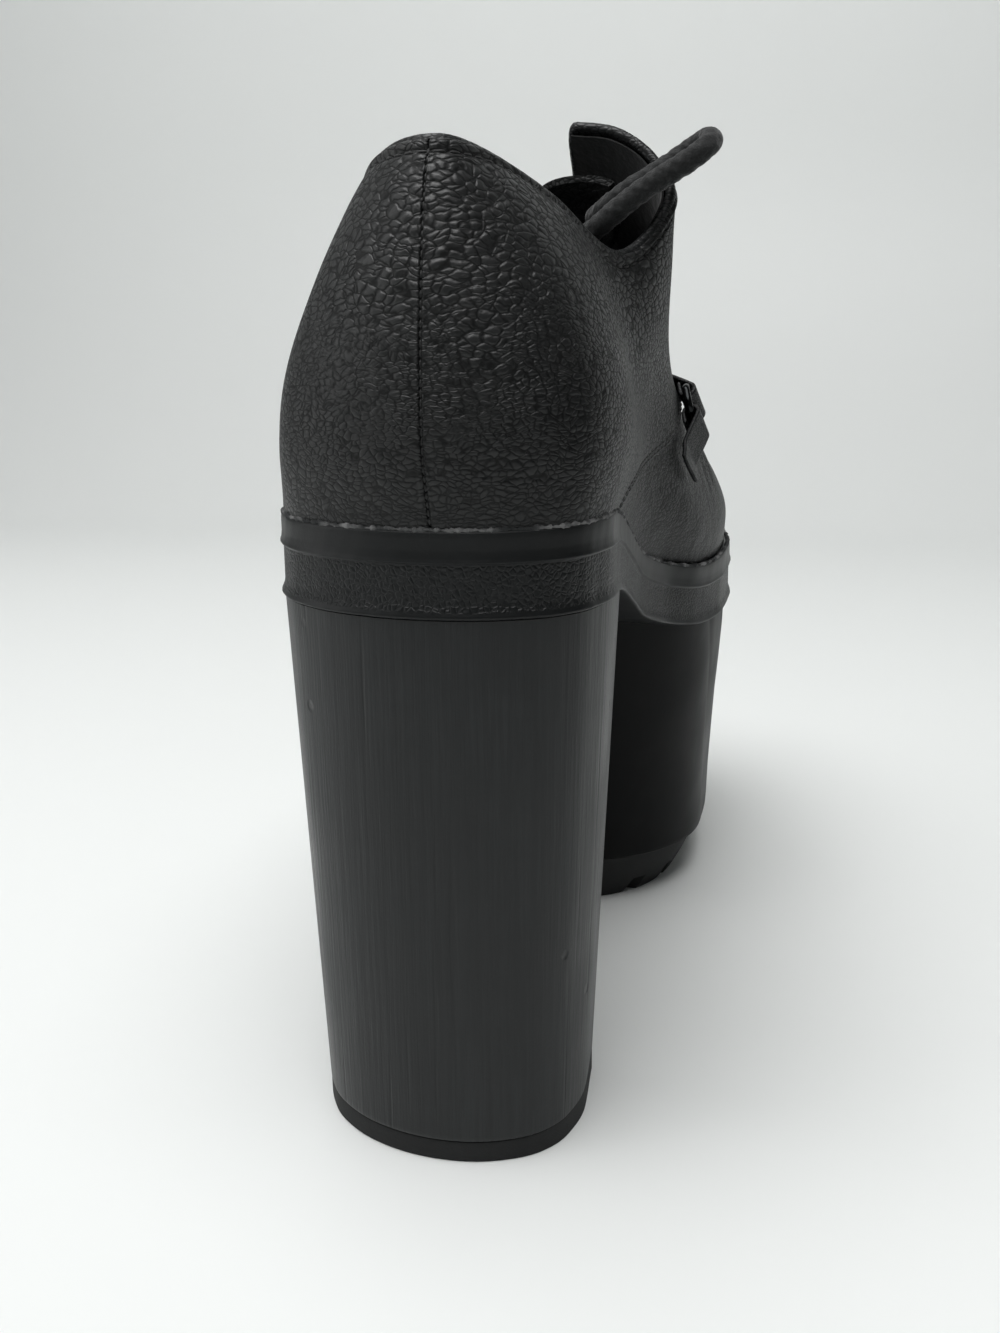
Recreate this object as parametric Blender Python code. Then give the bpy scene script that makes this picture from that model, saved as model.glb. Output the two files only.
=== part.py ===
"""Platform derby shoe with a block heel, left foot, modelled in metres.

+Y runs from the heel to the toe, +X is the inner (medial) side and +Z is up.
The origin lies on the floor under the middle of the heel's top piece.
"""
import math

import bmesh
import bpy
from mathutils import Vector
from mathutils.bvhtree import BVHTree

MM = 0.001

# Driving sizes
SHOE_LENGTH = 246.0 * MM
BALL_WIDTH = 95.5 * MM
HEEL_HEIGHT = 126.0 * MM
FOREPART_HEIGHT = 98.0 * MM
TOE_SPRING = 7.0 * MM
HEEL_CENTRE = 21.0 * MM
BAND_HEIGHT = 16.0 * MM
RIDGE_PROUD = 0.8 * MM
RIM_LEDGE = 1.6 * MM
PLATFORM_TAPER = 5.0 * MM
PLATFORM_REAR = 104.0 * MM
PLATFORM_REAR_LEAN = 20.0 * MM
PLATFORM_ROUND = 38.0 * MM
TREAD_HEIGHT = 14.0 * MM
TREAD_INSET = 2.5 * MM
LUG_DEPTH = 4.6 * MM
LUG_SPACING = 13.0 * MM
GROOVE_WIDTH = 3.6 * MM
HEEL_DEPTH = 46.0 * MM
HEEL_FOOT_DEPTH = 41.0 * MM
HEEL_FOOT_WIDTH = 56.5 * MM
HEEL_FOOT_SHIFT = 0.9 * MM
HEEL_INSET = 0.1 * MM
TOPLIFT_THICK = 4.7 * MM
TOPLIFT_INSET = 0.5 * MM
UPPER_WALL = 1.8 * MM
QUARTER_STEP = 1.1 * MM
BACK_HEIGHT = 65.0 * MM
INSOLE_THICK = 2.0 * MM
INSOLE_GAP = 1.4 * MM
TONGUE_THICK = 2.0 * MM
TONGUE_DROP = 5.6 * MM
EYELET_BORE = 6.0 * MM
EYELET_BARREL = 0.5 * MM
EYELET_FLANGE = 10.0 * MM
EYELET_THICK = 0.7 * MM
EYELET_SEAT = 0.8 * MM
EYELET_PAIRS = 3
LACE_DIAMETER = 4.8 * MM
LACE_SAG = 6.0 * MM
STRAP_WIDTH = 16.0 * MM
STRAP_THICK = 1.5 * MM
RING_LENGTH = 25.0 * MM
RING_WIDTH = 13.0 * MM
RING_STOCK = 3.2 * MM
CLEARANCE = 0.3 * MM

# Outline of the sole's rim: forward share of the length, then the inner and
# outer half widths as shares of half the ball width
OUTLINE = (
    # forward, inner, outer
    (0.000, 0.00, 0.00),
    (0.008, 0.25, 0.28),
    (0.028, 0.44, 0.50),
    (0.062, 0.56, 0.68),
    (0.110, 0.61, 0.785),
    (0.190, 0.59, 0.82),
    (0.280, 0.58, 0.82),
    (0.370, 0.58, 0.82),
    (0.450, 0.66, 0.86),
    (0.530, 0.83, 0.93),
    (0.620, 0.93, 0.99),
    (0.715, 0.95, 1.02),
    (0.800, 0.90, 0.99),
    (0.880, 0.76, 0.85),
    (0.945, 0.52, 0.58),
    (0.985, 0.26, 0.29),
    (1.000, 0.00, 0.00),
)

# The band's side: drop below the rim as a share of the band, and which ridge
BAND_SIDE = (
    # drop, proud share of the ridge, inset share of the ledge
    (0.00, 0.0, 0.45),
    (0.06, 0.0, 0.00),
    (0.32, 0.0, 0.00),
    (0.36, 0.7, 0.00),
    (0.42, 0.7, 0.00),
    (0.46, 0.0, 0.00),
    (0.86, 0.0, 0.00),
    (0.91, 1.0, 0.00),
    (1.00, 1.0, 0.00),
)

# The last: a row for each rib from the heel's back to the toe. Foot is the
# rib's place on the outline, a share of the length. Each level above it gives
# forward as a share of the length, side as a share of half the ball width,
# and up as a share of the back height, over the rim at the rib's foot. The
# outer side's top falls by its own share of the back height.
LEVELS = (0.0, 0.14, 0.34, 0.60, 0.82, 1.0)
RIBS = (
    # foot, fall of the outer side's top, (forward, inner, outer, up) at the five levels
    (0.000, 0.00, ((-0.010, 0.00, 0.00, 0.20), (-0.010, 0.00, 0.00, 0.42),
                   (0.000, 0.00, 0.00, 0.70), (0.014, 0.00, 0.00, 0.89), (0.030, 0.00, 0.00, 1.00))),
    (0.040, 0.00, ((0.034, 0.50, 0.565, 0.20), (0.036, 0.48, 0.535, 0.41),
                   (0.045, 0.38, 0.43, 0.66), (0.058, 0.25, 0.32, 0.86), (0.070, 0.14, 0.24, 0.98))),
    (0.110, 0.00, ((0.108, 0.62, 0.735, 0.20), (0.112, 0.61, 0.70, 0.39),
                   (0.122, 0.52, 0.60, 0.61), (0.136, 0.40, 0.50, 0.79), (0.150, 0.30, 0.43, 0.90))),
    (0.220, 0.00, ((0.222, 0.61, 0.785, 0.20), (0.228, 0.60, 0.765, 0.36),
                   (0.238, 0.57, 0.71, 0.55), (0.250, 0.54, 0.66, 0.70), (0.262, 0.515, 0.62, 0.823))),
    (0.370, 0.00, ((0.366, 0.59, 0.81, 0.20), (0.358, 0.61, 0.79, 0.42),
                   (0.344, 0.64, 0.75, 0.74), (0.332, 0.68, 0.72, 1.02), (0.325, 0.71, 0.71, 1.20))),
    (0.530, 0.03, ((0.520, 0.83, 0.94, 0.20), (0.486, 0.73, 0.86, 0.46),
                   (0.430, 0.65, 0.74, 0.86), (0.382, 0.66, 0.69, 1.24), (0.345, 0.62, 0.60, 1.50))),
    (0.700, 0.08, ((0.690, 0.92, 0.98, 0.20), (0.645, 0.78, 0.84, 0.46),
                   (0.520, 0.56, 0.61, 0.82), (0.430, 0.50, 0.52, 1.22), (0.354, 0.45, 0.45, 1.60))),
    (0.860, 0.11, ((0.850, 0.73, 0.81, 0.24), (0.780, 0.53, 0.58, 0.44),
                   (0.590, 0.32, 0.35, 0.73), (0.455, 0.27, 0.28, 1.22), (0.357, 0.26, 0.26, 1.60))),
    (1.000, 0.00, ((0.985, 0.00, 0.00, 0.20), (0.860, 0.00, 0.00, 0.40),
                   (0.610, 0.00, 0.00, 0.66), (0.460, 0.00, 0.00, 1.16), (0.358, 0.00, 0.00, 1.54))),
)

# The front edge of the quarters: level, and place round the outline from the
# heel's back (0) to the toe (1)
QUARTER_EDGE = (
    # level, around
    (0.00, 0.281),
    (0.14, 0.360),
    (0.34, 0.460),
    (0.47, 0.560),
    (0.60, 0.780),
)
THROAT_LEVEL = 0.60
SLIT_AROUND = 0.780

# Colours and finishes: base colour, roughness, metallic
FINISHES = {
    "leather": ((0.012, 0.013, 0.013, 1.0), 0.42, 0.0),
    "tongue leather": ((0.014, 0.014, 0.015, 1.0), 0.5, 0.0),
    "sole": ((0.014, 0.015, 0.016, 1.0), 0.45, 0.0),
    "heel": ((0.022, 0.023, 0.024, 1.0), 0.4, 0.0),
    "rubber": ((0.018, 0.018, 0.018, 1.0), 0.8, 0.0),
    "insole": ((0.02, 0.02, 0.02, 1.0), 0.7, 0.0),
    "black metal": ((0.02, 0.02, 0.022, 1.0), 0.2, 1.0),
    "lace": ((0.01, 0.01, 0.011, 1.0), 0.9, 0.0),
}


# Curves and interpolation
def smooth_step(low, high, value):
    """Rise from 0 to 1 between low and high with level ends."""
    share = min(max((value - low) / (high - low), 0.0), 1.0)
    return share * share * (3.0 - 2.0 * share)


def slopes(knots, values):
    """Slopes of a cubic through the values that never overshoots them."""
    steps = [b - a for a, b in zip(knots, knots[1:])]
    rises = [(b - a) / step for a, b, step in zip(values, values[1:], steps)]
    result = [rises[0]]
    for index in range(1, len(rises)):
        before, after = rises[index - 1], rises[index]
        if before * after <= 0.0:
            result.append(0.0)
        else:
            wide = 2.0 * steps[index] + steps[index - 1]
            narrow = steps[index] + 2.0 * steps[index - 1]
            result.append((wide + narrow) / (wide / before + narrow / after))
    result.append(rises[-1])
    return result


def cubic(knots, values, tangents, place):
    """Value at a place of the cubic with these tangents."""
    last = len(knots) - 2
    index = 0
    while index < last and place > knots[index + 1]:
        index += 1
    step = knots[index + 1] - knots[index]
    t = (place - knots[index]) / step
    low, high = values[index], values[index + 1]
    rise = 3.0 * (high - low)
    start, end = tangents[index] * step, tangents[index + 1] * step
    return low + t * (start + t * ((rise - 2.0 * start - end) + t * (start + end - 2.0 * (high - low))))


def through(knots, values, place):
    """Value at a place of a free cubic through the values."""
    tangents = []
    count = len(knots)
    for index in range(count):
        before, after = max(index - 1, 0), min(index + 1, count - 1)
        tangents.append((values[after] - values[before]) / (knots[after] - knots[before]))
    return cubic(knots, values, tangents, place)


# Height of the rim along the shoe
def rim_height(forward):
    """Height of the sole's rim over the floor at a forward distance."""
    share = forward / SHOE_LENGTH
    fall = smooth_step(0.10, 0.57, share)
    spring = max(share - 0.72, 0.0) / 0.28
    return HEEL_HEIGHT + (FOREPART_HEIGHT - HEEL_HEIGHT) * fall + TOE_SPRING * spring * spring


# The outline is followed by an angle-like share that is even round both ends
TURNS = [math.acos(1.0 - 2.0 * row[0]) / math.pi for row in OUTLINE]
INNER = [row[1] for row in OUTLINE]
OUTER = [row[2] for row in OUTLINE]
INNER_SLOPES = slopes(TURNS, INNER)
OUTER_SLOPES = slopes(TURNS, OUTER)
END_SLOPE = 1.12
for table in (INNER_SLOPES, OUTER_SLOPES):
    table[0] = table[0] * END_SLOPE
    table[-1] = table[-1] * END_SLOPE


def half_width(forward_share, side):
    """Half width of the rim's outline on one side (1 inner, -1 outer)."""
    turn = math.acos(1.0 - 2.0 * min(max(forward_share, 0.0), 1.0)) / math.pi
    if side > 0:
        share = cubic(TURNS, INNER, INNER_SLOPES, turn)
    else:
        share = cubic(TURNS, OUTER, OUTER_SLOPES, turn)
    return share * BALL_WIDTH / 2.0


def place(side, forward, height):
    """Point of the shoe's frame from side, forward and height."""
    return Vector((side, forward - HEEL_CENTRE, height))


def outline_point(turn, side, inset=0.0):
    """Side and forward of the outline at a turn share, moved inwards."""
    step = 0.002
    points = []
    for value in (turn - step, turn, turn + step):
        flip = side
        if value < 0.0:
            value, flip = -value, -side
        elif value > 1.0:
            value, flip = 2.0 - value, -side
        forward_share = (1.0 - math.cos(math.pi * value)) / 2.0
        points.append((flip * half_width(forward_share, flip), forward_share * SHOE_LENGTH))
    along = (points[2][0] - points[0][0], points[2][1] - points[0][1])
    size = math.hypot(*along)
    normal = (-along[1] / size * side, along[0] / size * side)
    return points[1][0] + normal[0] * inset, points[1][1] + normal[1] * inset


def ring_turns(count):
    """Turn share and side of evenly stepped places all round the outline."""
    turns = [(2.0 * index / count, 1) for index in range(count // 2 + 1)]
    turns += [(2.0 - 2.0 * index / count, -1) for index in range(count // 2 + 1, count)]
    return turns


# The last's surface: around runs from 0 at the heel's back to 1 at the toe on
# the inner side, and to -1 on the outer side
def loop_table():
    """Rib feet and level points in order all round the shoe, wrapped past both ends."""
    feet = [math.acos(1.0 - 2.0 * rib[0]) / math.pi for rib in RIBS]
    rows = []
    for side in (-1, 1):
        for foot, rib in zip(feet, RIBS):
            base = rim_height(rib[0] * SHOE_LENGTH)
            points = []
            for level, (forward, inner, outer, up) in zip(LEVELS[1:], rib[2]):
                share = inner if side > 0 else outer
                fall = rib[1] * smooth_step(0.6, 1.0, level) if side < 0 else 0.0
                points.append((side * share * BALL_WIDTH / 2.0, forward * SHOE_LENGTH,
                               base + (up - fall) * BACK_HEIGHT))
            if side > 0 or 0.0 < foot < 1.0:
                rows.append((side * foot, points))
    rows.sort(key=lambda row: row[0])
    head = [(knot - 2.0, points) for knot, points in rows[-2:]]
    tail = [(knot + 2.0, points) for knot, points in rows[:2]]
    return head + rows + tail


LOOP = loop_table()
LOOP_KNOTS = [row[0] for row in LOOP]


def feather_point(around, inset):
    """Point of the rim's outline, moved inwards, on the rim's own surface."""
    side = 1 if around >= 0.0 else -1
    across, forward = outline_point(abs(around), side, inset)
    return across, forward, rim_height(forward)


def last_point(around, level):
    """Point of the upper's outer face under the quarters' step."""
    if around > 1.0:
        around -= 2.0
    elif around < -1.0:
        around += 2.0
    columns = [feather_point(around, RIM_LEDGE)]
    for index in range(len(LEVELS) - 1):
        columns.append([through(LOOP_KNOTS, [row[1][index][axis] for row in LOOP], around)
                        for axis in range(3)])
    return Vector([through(LEVELS, [column[axis] for column in columns], level) for axis in range(3)])


def last_normal(around, level):
    """Outward direction of the last, level at the feather."""
    step = 0.004
    low, high = max(level - step, 0.0), min(level + step, 1.0)
    along = last_point(around + step, level) - last_point(around - step, level)
    up = last_point(around, high) - last_point(around, low)
    normal = along.cross(up)
    normal.z *= smooth_step(0.0, 0.10, level)
    return normal.normalized()


def skin_point(around, level, proud):
    """Point of the shoe's frame over or under the last's surface."""
    point = last_point(around, level) + last_normal(around, level) * proud
    if level <= 0.0:
        point.z = rim_height(point.y) + CLEARANCE
    return place(point.x, point.y, point.z)


# Objects
def add_object(name, mesh, finish):
    """Put a finished mesh in the shoe's collection with its own material."""
    shoe = bpy.data.objects.new(name, mesh)
    bpy.data.collections["platform_shoe"].objects.link(shoe)
    colour, roughness, metallic = FINISHES[finish]
    material = bpy.data.materials.new(name)
    material.use_nodes = True
    shader = material.node_tree.nodes["Principled BSDF"]
    shader.inputs["Base Color"].default_value = colour
    shader.inputs["Roughness"].default_value = roughness
    shader.inputs["Metallic"].default_value = metallic
    mesh.materials.append(material)
    mesh.shade_smooth()
    mesh.set_sharp_from_angle(angle=math.radians(35.0))
    return shoe


def mesh_from(name, vertices, faces):
    """Mesh from points and faces, its faces turned outwards."""
    mesh = bpy.data.meshes.new(name)
    mesh.from_pydata([tuple(vertex) for vertex in vertices], [], faces)
    shape = bmesh.new()
    shape.from_mesh(mesh)
    bmesh.ops.recalc_face_normals(shape, faces=shape.faces)
    bmesh.ops.triangulate(shape, faces=shape.faces, quad_method="SHORT_EDGE")
    shape.to_mesh(mesh)
    shape.free()
    return mesh


def loft(name, loops):
    """Closed body through loops whose points pair up across the middle."""
    count = len(loops[0])
    vertices = [point for loop in loops for point in loop]
    faces = []
    for ring in range(len(loops) - 1):
        start = ring * count
        for index in range(count):
            after = (index + 1) % count
            faces.append((start + index, start + after, start + count + after, start + count + index))
    for start in (0, (len(loops) - 1) * count):
        faces.append((start, start + 1, start + count - 1))
        for index in range(1, count // 2 - 1):
            faces.append((start + index, start + index + 1,
                          start + count - index - 1, start + count - index))
        half = count // 2
        faces.append((start + half - 1, start + half, start + half + 1))
    return mesh_from(name, vertices, faces)


def sheet(name, outer, inner, closed):
    """Closed body between an outer and an inner grid of rows of equal length."""
    rows, count = len(outer), len(outer[0])
    vertices = [point for row in outer + inner for point in row]
    faces = []
    spans = count if closed else count - 1
    under = rows * count
    for row in range(rows - 1):
        for index in range(spans):
            a, b = row * count + index, row * count + (index + 1) % count
            faces.append((a, b, b + count, a + count))
            faces.append((under + a, under + a + count, under + b + count, under + b))
    for row in (0, rows - 1):
        for index in range(spans):
            a, b = row * count + index, row * count + (index + 1) % count
            faces.append((a, b, under + b, under + a))
    if not closed:
        for row in range(rows - 1):
            for index in (0, count - 1):
                a, b = row * count + index, (row + 1) * count + index
                faces.append((a, b, under + b, under + a))
    return mesh_from(name, vertices, faces)


def boolean(target, cutter, operation):
    """Join or cut one object by another with the exact solver."""
    step = target.modifiers.new(cutter.name, "BOOLEAN")
    step.operation = operation
    step.solver = "EXACT"
    step.object = cutter
    cutter.hide_render = True
    cutter.display_type = "WIRE"


def add_cutter(name, mesh):
    """Put a cutter or a joined body in its own collection."""
    cutter = bpy.data.objects.new(name, mesh)
    bpy.data.collections["cutters"].objects.link(cutter)
    return cutter


def add_tube(name, points, diameter, finish, closed=False):
    """Round cord or bar along a smooth curve through its points."""
    curve = bpy.data.curves.new(name, "CURVE")
    curve.dimensions = "3D"
    curve.bevel_depth = diameter / 2.0
    curve.bevel_resolution = 2
    curve.use_fill_caps = not closed
    spline = curve.splines.new("POLY")
    spline.points.add(len(points) - 1)
    for knot, point in zip(spline.points, points):
        knot.co = (*point, 1.0)
    spline.use_cyclic_u = closed
    guide = bpy.data.objects.new(name + "_guide", curve)
    bpy.data.collections["cutters"].objects.link(guide)
    bpy.context.view_layer.update()
    mesh = bpy.data.meshes.new_from_object(guide.evaluated_get(bpy.context.evaluated_depsgraph_get()))
    bpy.data.objects.remove(guide)
    shape = bmesh.new()
    shape.from_mesh(mesh)
    bmesh.ops.remove_doubles(shape, verts=shape.verts, dist=0.00001)
    bmesh.ops.recalc_face_normals(shape, faces=shape.faces)
    shape.to_mesh(mesh)
    shape.free()
    mesh.materials.clear()
    return add_object(name, mesh, finish)


def smooth_route(points, count):
    """Evenly stepped points on a smooth curve through a route's own points."""
    knots = [0.0]
    for before, after in zip(points, points[1:]):
        knots.append(knots[-1] + (after - before).length)
    route = []
    for index in range(count):
        where = knots[-1] * index / (count - 1)
        route.append(Vector([through(knots, [point[axis] for point in points], where)
                             for axis in range(3)]))
    return route


# Sole
PLATFORM_REAR_STEPS = 7
PLATFORM_SIDE_STEPS = 17


def ground_spring(forward):
    """Rise of the tread's underside towards the toe."""
    share = max(forward / SHOE_LENGTH - 0.78, 0.0) / 0.22
    return TOE_SPRING * 1.4 * share * share


def platform_loop(height_share, inset, lift):
    """Loop of the platform's side from its round rear to the toe."""
    rear = PLATFORM_REAR + PLATFORM_REAR_LEAN * height_share
    round_end = rear + PLATFORM_ROUND
    first_turn = math.acos(1.0 - 2.0 * round_end / SHOE_LENGTH) / math.pi
    half_loops = []
    for side in (1, -1):
        across, forward = outline_point(first_turn, side, inset)
        points = []
        for index in range(PLATFORM_REAR_STEPS):
            angle = math.pi / 2.0 * index / PLATFORM_REAR_STEPS
            points.append((across * math.sin(angle) ** 0.85, rear + (forward - rear) * (1.0 - math.cos(angle))))
        for index in range(PLATFORM_SIDE_STEPS + 1):
            turn = first_turn + (1.0 - first_turn) * index / PLATFORM_SIDE_STEPS
            points.append(outline_point(turn, side, inset))
        half_loops.append(points)
    inner, outer = half_loops
    loop = inner + list(reversed(outer[1:-1]))
    return [place(across, forward, lift(forward)) for across, forward in loop]


def make_sole():
    """Sole unit: the banded rim all round with the platform under the forepart."""
    loops = []
    for drop, proud, inset in BAND_SIDE:
        ring = []
        for turn, side in ring_turns(72):
            across, forward = outline_point(turn, side, inset * RIM_LEDGE - proud * RIDGE_PROUD)
            ring.append(place(across, forward, rim_height(forward) - drop * BAND_HEIGHT))
        loops.append(ring)
    sole = add_object("sole_unit", loft("sole_unit", loops), "sole")
    rows = ((0.0, 1.2 * MM), (0.16, 1.6 * MM), (0.45, 3.2 * MM), (0.8, 4.6 * MM), (1.0, PLATFORM_TAPER))
    loops = []
    for share, inset in rows:
        def lift(forward, share=share):
            top = rim_height(forward) - BAND_HEIGHT * 0.9
            low = TREAD_HEIGHT + ground_spring(forward)
            return top + (low - top) * share
        loops.append(platform_loop(share, inset, lift))
    body = add_cutter("platform_body", loft("platform_body", loops))
    boolean(sole, body, "UNION")


def make_tread():
    """Forefoot tread: a rubber plate with lugs cut by grooves across it."""
    rows = ((0.0, 0.0), (0.3, 1.2 * MM), (0.62, 3.2 * MM), (1.0, 6.0 * MM))
    loops = []
    for share, inset in rows:
        def lift(forward, share=share):
            return (TREAD_HEIGHT - CLEARANCE) * (1.0 - share) + ground_spring(forward)
        loops.append(platform_loop(1.0 + 0.25 * share, PLATFORM_TAPER + TREAD_INSET + inset, lift))
    tread = add_object("forefoot_tread", loft("forefoot_tread", loops), "rubber")
    first = PLATFORM_REAR + PLATFORM_REAR_LEAN + LUG_SPACING
    count = int((SHOE_LENGTH - first) / LUG_SPACING)
    for index in range(count):
        forward = first + index * LUG_SPACING
        shape = bmesh.new()
        bmesh.ops.create_cube(shape, size=1.0)
        for vertex in shape.verts:
            low = ground_spring(forward)
            vertex.co = place(vertex.co.x * BALL_WIDTH * 1.2, forward + vertex.co.y * GROOVE_WIDTH,
                              low + vertex.co.z * 2.0 * LUG_DEPTH)
        mesh = bpy.data.meshes.new("groove")
        shape.to_mesh(mesh)
        shape.free()
        boolean(tread, add_cutter("groove_%d" % index, mesh), "DIFFERENCE")


def heel_loop(share, inset, lift):
    """D shaped loop of the heel: share 0 under the band, 1 at the floor."""
    end_turn = math.acos(1.0 - 2.0 * HEEL_DEPTH / SHOE_LENGTH) / math.pi
    corner = 3.0 * MM
    halves = []
    ends = [outline_point(end_turn, side, inset)[0] for side in (1, -1)]
    middle, width = (ends[0] + ends[1]) / 2.0, ends[0] - ends[1]
    narrow = 1.0 + (HEEL_FOOT_WIDTH / width - 1.0) * share
    shallow = 1.0 + (HEEL_FOOT_DEPTH / HEEL_DEPTH - 1.0) * share
    for side in (1, -1):
        points = [outline_point(end_turn * index / 14.0, side, inset) for index in range(15)]
        across, forward = points[-1]
        points = points[:-1]
        for index in range(4):
            angle = math.pi / 2.0 * index / 3.0
            points.append((across - side * corner * (1.0 - math.cos(angle)),
                           forward - corner * (1.0 - math.sin(angle))))
        points.append((middle, forward))
        halves.append(points)
    inner, outer = halves
    loop = inner + list(reversed(outer[1:-1]))
    result = []
    for across, forward in loop:
        across = middle + HEEL_FOOT_SHIFT * share + (across - middle) * narrow
        forward = forward * shallow
        result.append(place(across, forward, lift(forward)))
    return result


def make_heel():
    """Block heel with its grain-covered side, and the top piece under it."""
    inset = HEEL_INSET
    loops = []
    for share in (0.0, 0.35, 0.7, 1.0):
        def lift(forward, share=share):
            top = rim_height(forward) - BAND_HEIGHT - CLEARANCE
            low = TOPLIFT_THICK + CLEARANCE
            return top + (low - top) * share
        loops.append(heel_loop(share, inset, lift))
    add_object("heel_block", loft("heel_block", loops), "heel")
    loops = []
    for height, narrow in ((TOPLIFT_THICK, TOPLIFT_INSET), (1.0 * MM, TOPLIFT_INSET + 0.1 * MM),
                           (0.0, TOPLIFT_INSET + 0.5 * MM)):
        loops.append(heel_loop(1.0, inset + narrow, lambda forward, height=height: height))
    add_object("toplift", loft("toplift", loops), "rubber")


def make_insole():
    """Insole board and sock inside the upper's wall."""
    inset = RIM_LEDGE + UPPER_WALL + INSOLE_GAP
    loops = []
    for height in (CLEARANCE, CLEARANCE + INSOLE_THICK):
        ring = []
        for turn, side in ring_turns(48):
            across, forward = outline_point(turn, side, inset)
            ring.append(place(across, forward, rim_height(forward) + height))
        loops.append(ring)
    add_object("insole", loft("insole", loops), "insole")


# Upper
def edge_around(level):
    """Place of the quarters' front edge round the outline at a level."""
    knots = [row[0] for row in QUARTER_EDGE]
    values = [row[1] for row in QUARTER_EDGE]
    if level >= knots[-1]:
        return SLIT_AROUND
    return cubic(knots, values, slopes(knots, values), level)


UPPER_LEVELS = (0.0, 0.05, 0.10, 0.16, 0.22, 0.28, 0.34, 0.41, 0.47, 0.52, 0.56, 0.60,
                0.67, 0.74, 0.81, 0.88, 0.95, 1.0)
QUARTER_STEPS = 15
VAMP_STEPS = 12


def make_upper():
    """Hollow upper: two quarters stepped over the vamp, open at collar and throat."""
    throat = UPPER_LEVELS.index(THROAT_LEVEL)
    vertices, faces, grid = [], [], {}
    for row, level in enumerate(UPPER_LEVELS):
        edge = edge_around(level)
        columns = [(edge * index / QUARTER_STEPS, QUARTER_STEP) for index in range(QUARTER_STEPS + 1)]
        if row <= throat:
            rest = 1.0 - edge
            columns += [(edge + rest * (0.02 + 0.98 * index / VAMP_STEPS), 0.0)
                        for index in range(VAMP_STEPS + 1)]
        mirrored = [(-around, proud) for around, proud in reversed(columns)]
        if row <= throat:
            line = mirrored[1:-1] + columns
        else:
            line = mirrored[:-1] + columns
        for index, (around, proud) in enumerate(line):
            grid[row, index, 1] = len(vertices)
            vertices.append(skin_point(around, level, proud))
            grid[row, index, 0] = len(vertices)
            vertices.append(skin_point(around, level, -UPPER_WALL))
        grid[row, "count"] = len(line)
    full = grid[0, "count"]
    shift = VAMP_STEPS
    for row in range(throat):
        for index in range(full):
            after = (index + 1) % full
            for layer in (0, 1):
                faces.append((grid[row, index, layer], grid[row, after, layer],
                              grid[row + 1, after, layer], grid[row + 1, index, layer]))
    for row in range(throat, len(UPPER_LEVELS) - 1):
        for index in range(2 * QUARTER_STEPS):
            low = index + shift if row == throat else index
            for layer in (0, 1):
                faces.append((grid[row, low, layer], grid[row, low + 1, layer],
                              grid[row + 1, index + 1, layer], grid[row + 1, index, layer]))
    border = [(grid[0, index, 0], grid[0, (index + 1) % full, 0],
               grid[0, (index + 1) % full, 1], grid[0, index, 1]) for index in range(full)]
    top = len(UPPER_LEVELS) - 1
    for index in range(2 * QUARTER_STEPS):
        border.append((grid[top, index, 0], grid[top, index + 1, 0],
                       grid[top, index + 1, 1], grid[top, index, 1]))
    first, last = shift, shift + 2 * QUARTER_STEPS
    index = last
    while index != first:
        after = (index + 1) % full
        border.append((grid[throat, index, 0], grid[throat, after, 0],
                       grid[throat, after, 1], grid[throat, index, 1]))
        index = after
    for row in range(throat, top):
        for edge_index, low in ((0, first), (2 * QUARTER_STEPS, last)):
            below = low if row == throat else edge_index
            border.append((grid[row, below, 0], grid[row + 1, edge_index, 0],
                           grid[row + 1, edge_index, 1], grid[row, below, 1]))
    return add_object("upper", mesh_from("upper", vertices, faces + border), "leather")


# Skin lookup for what lies on the upper
GRID_AROUND = 96
GRID_LEVELS = 40


def skin_tree():
    """Search tree of the last's surface in the shoe's frame."""
    points = []
    for row in range(GRID_LEVELS + 1):
        for index in range(GRID_AROUND):
            around = 2.0 * index / GRID_AROUND - 1.0
            points.append(skin_point(around, max(row / GRID_LEVELS, 0.002), 0.0))
    faces = []
    for row in range(GRID_LEVELS):
        for index in range(GRID_AROUND):
            a, b = row * GRID_AROUND + index, row * GRID_AROUND + (index + 1) % GRID_AROUND
            faces.append((a, b, b + GRID_AROUND, a + GRID_AROUND))
    return BVHTree.FromPolygons(points, faces)


def drape(tree, point, proud):
    """Nearest point of the last's surface, lifted off it."""
    spot, normal, _face, _distance = tree.find_nearest(point)
    if normal.dot(point - spot) < 0.0 and normal.dot(spot - INSIDE) < 0.0:
        normal = -normal
    return spot + normal * proud


INSIDE = place(0.0, 0.45 * SHOE_LENGTH, HEEL_HEIGHT)


# Tongue
TONGUE_LEVELS = (0.50, 0.53, 0.56, 0.59, 0.63, 0.68, 0.74, 0.80, 0.85, 0.89, 0.915)
TONGUE_AROUND = 0.735
TONGUE_STEPS = 12


def make_tongue():
    """Tongue: seated under the vamp and slack under the facings."""
    outer, inner = [], []
    for level in TONGUE_LEVELS:
        drop = UPPER_WALL + 2.0 * CLEARANCE + TONGUE_DROP * smooth_step(0.56, 0.68, level)
        tops, bottoms = [], []
        for index in range(TONGUE_STEPS + 1):
            share = 2.0 * index / TONGUE_STEPS - 1.0
            round_top = 0.02 * share * share * smooth_step(0.8, TONGUE_LEVELS[-1], level)
            around = 1.0 - (1.0 - TONGUE_AROUND) * abs(share)
            if share > 0.0:
                around = -around
            tops.append(skin_point(around, level - round_top, -drop))
            bottoms.append(skin_point(around, level - round_top, -drop - TONGUE_THICK))
        outer.append(tops)
        inner.append(bottoms)
    add_object("tongue", sheet("tongue", outer, inner, False), "tongue leather")


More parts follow.
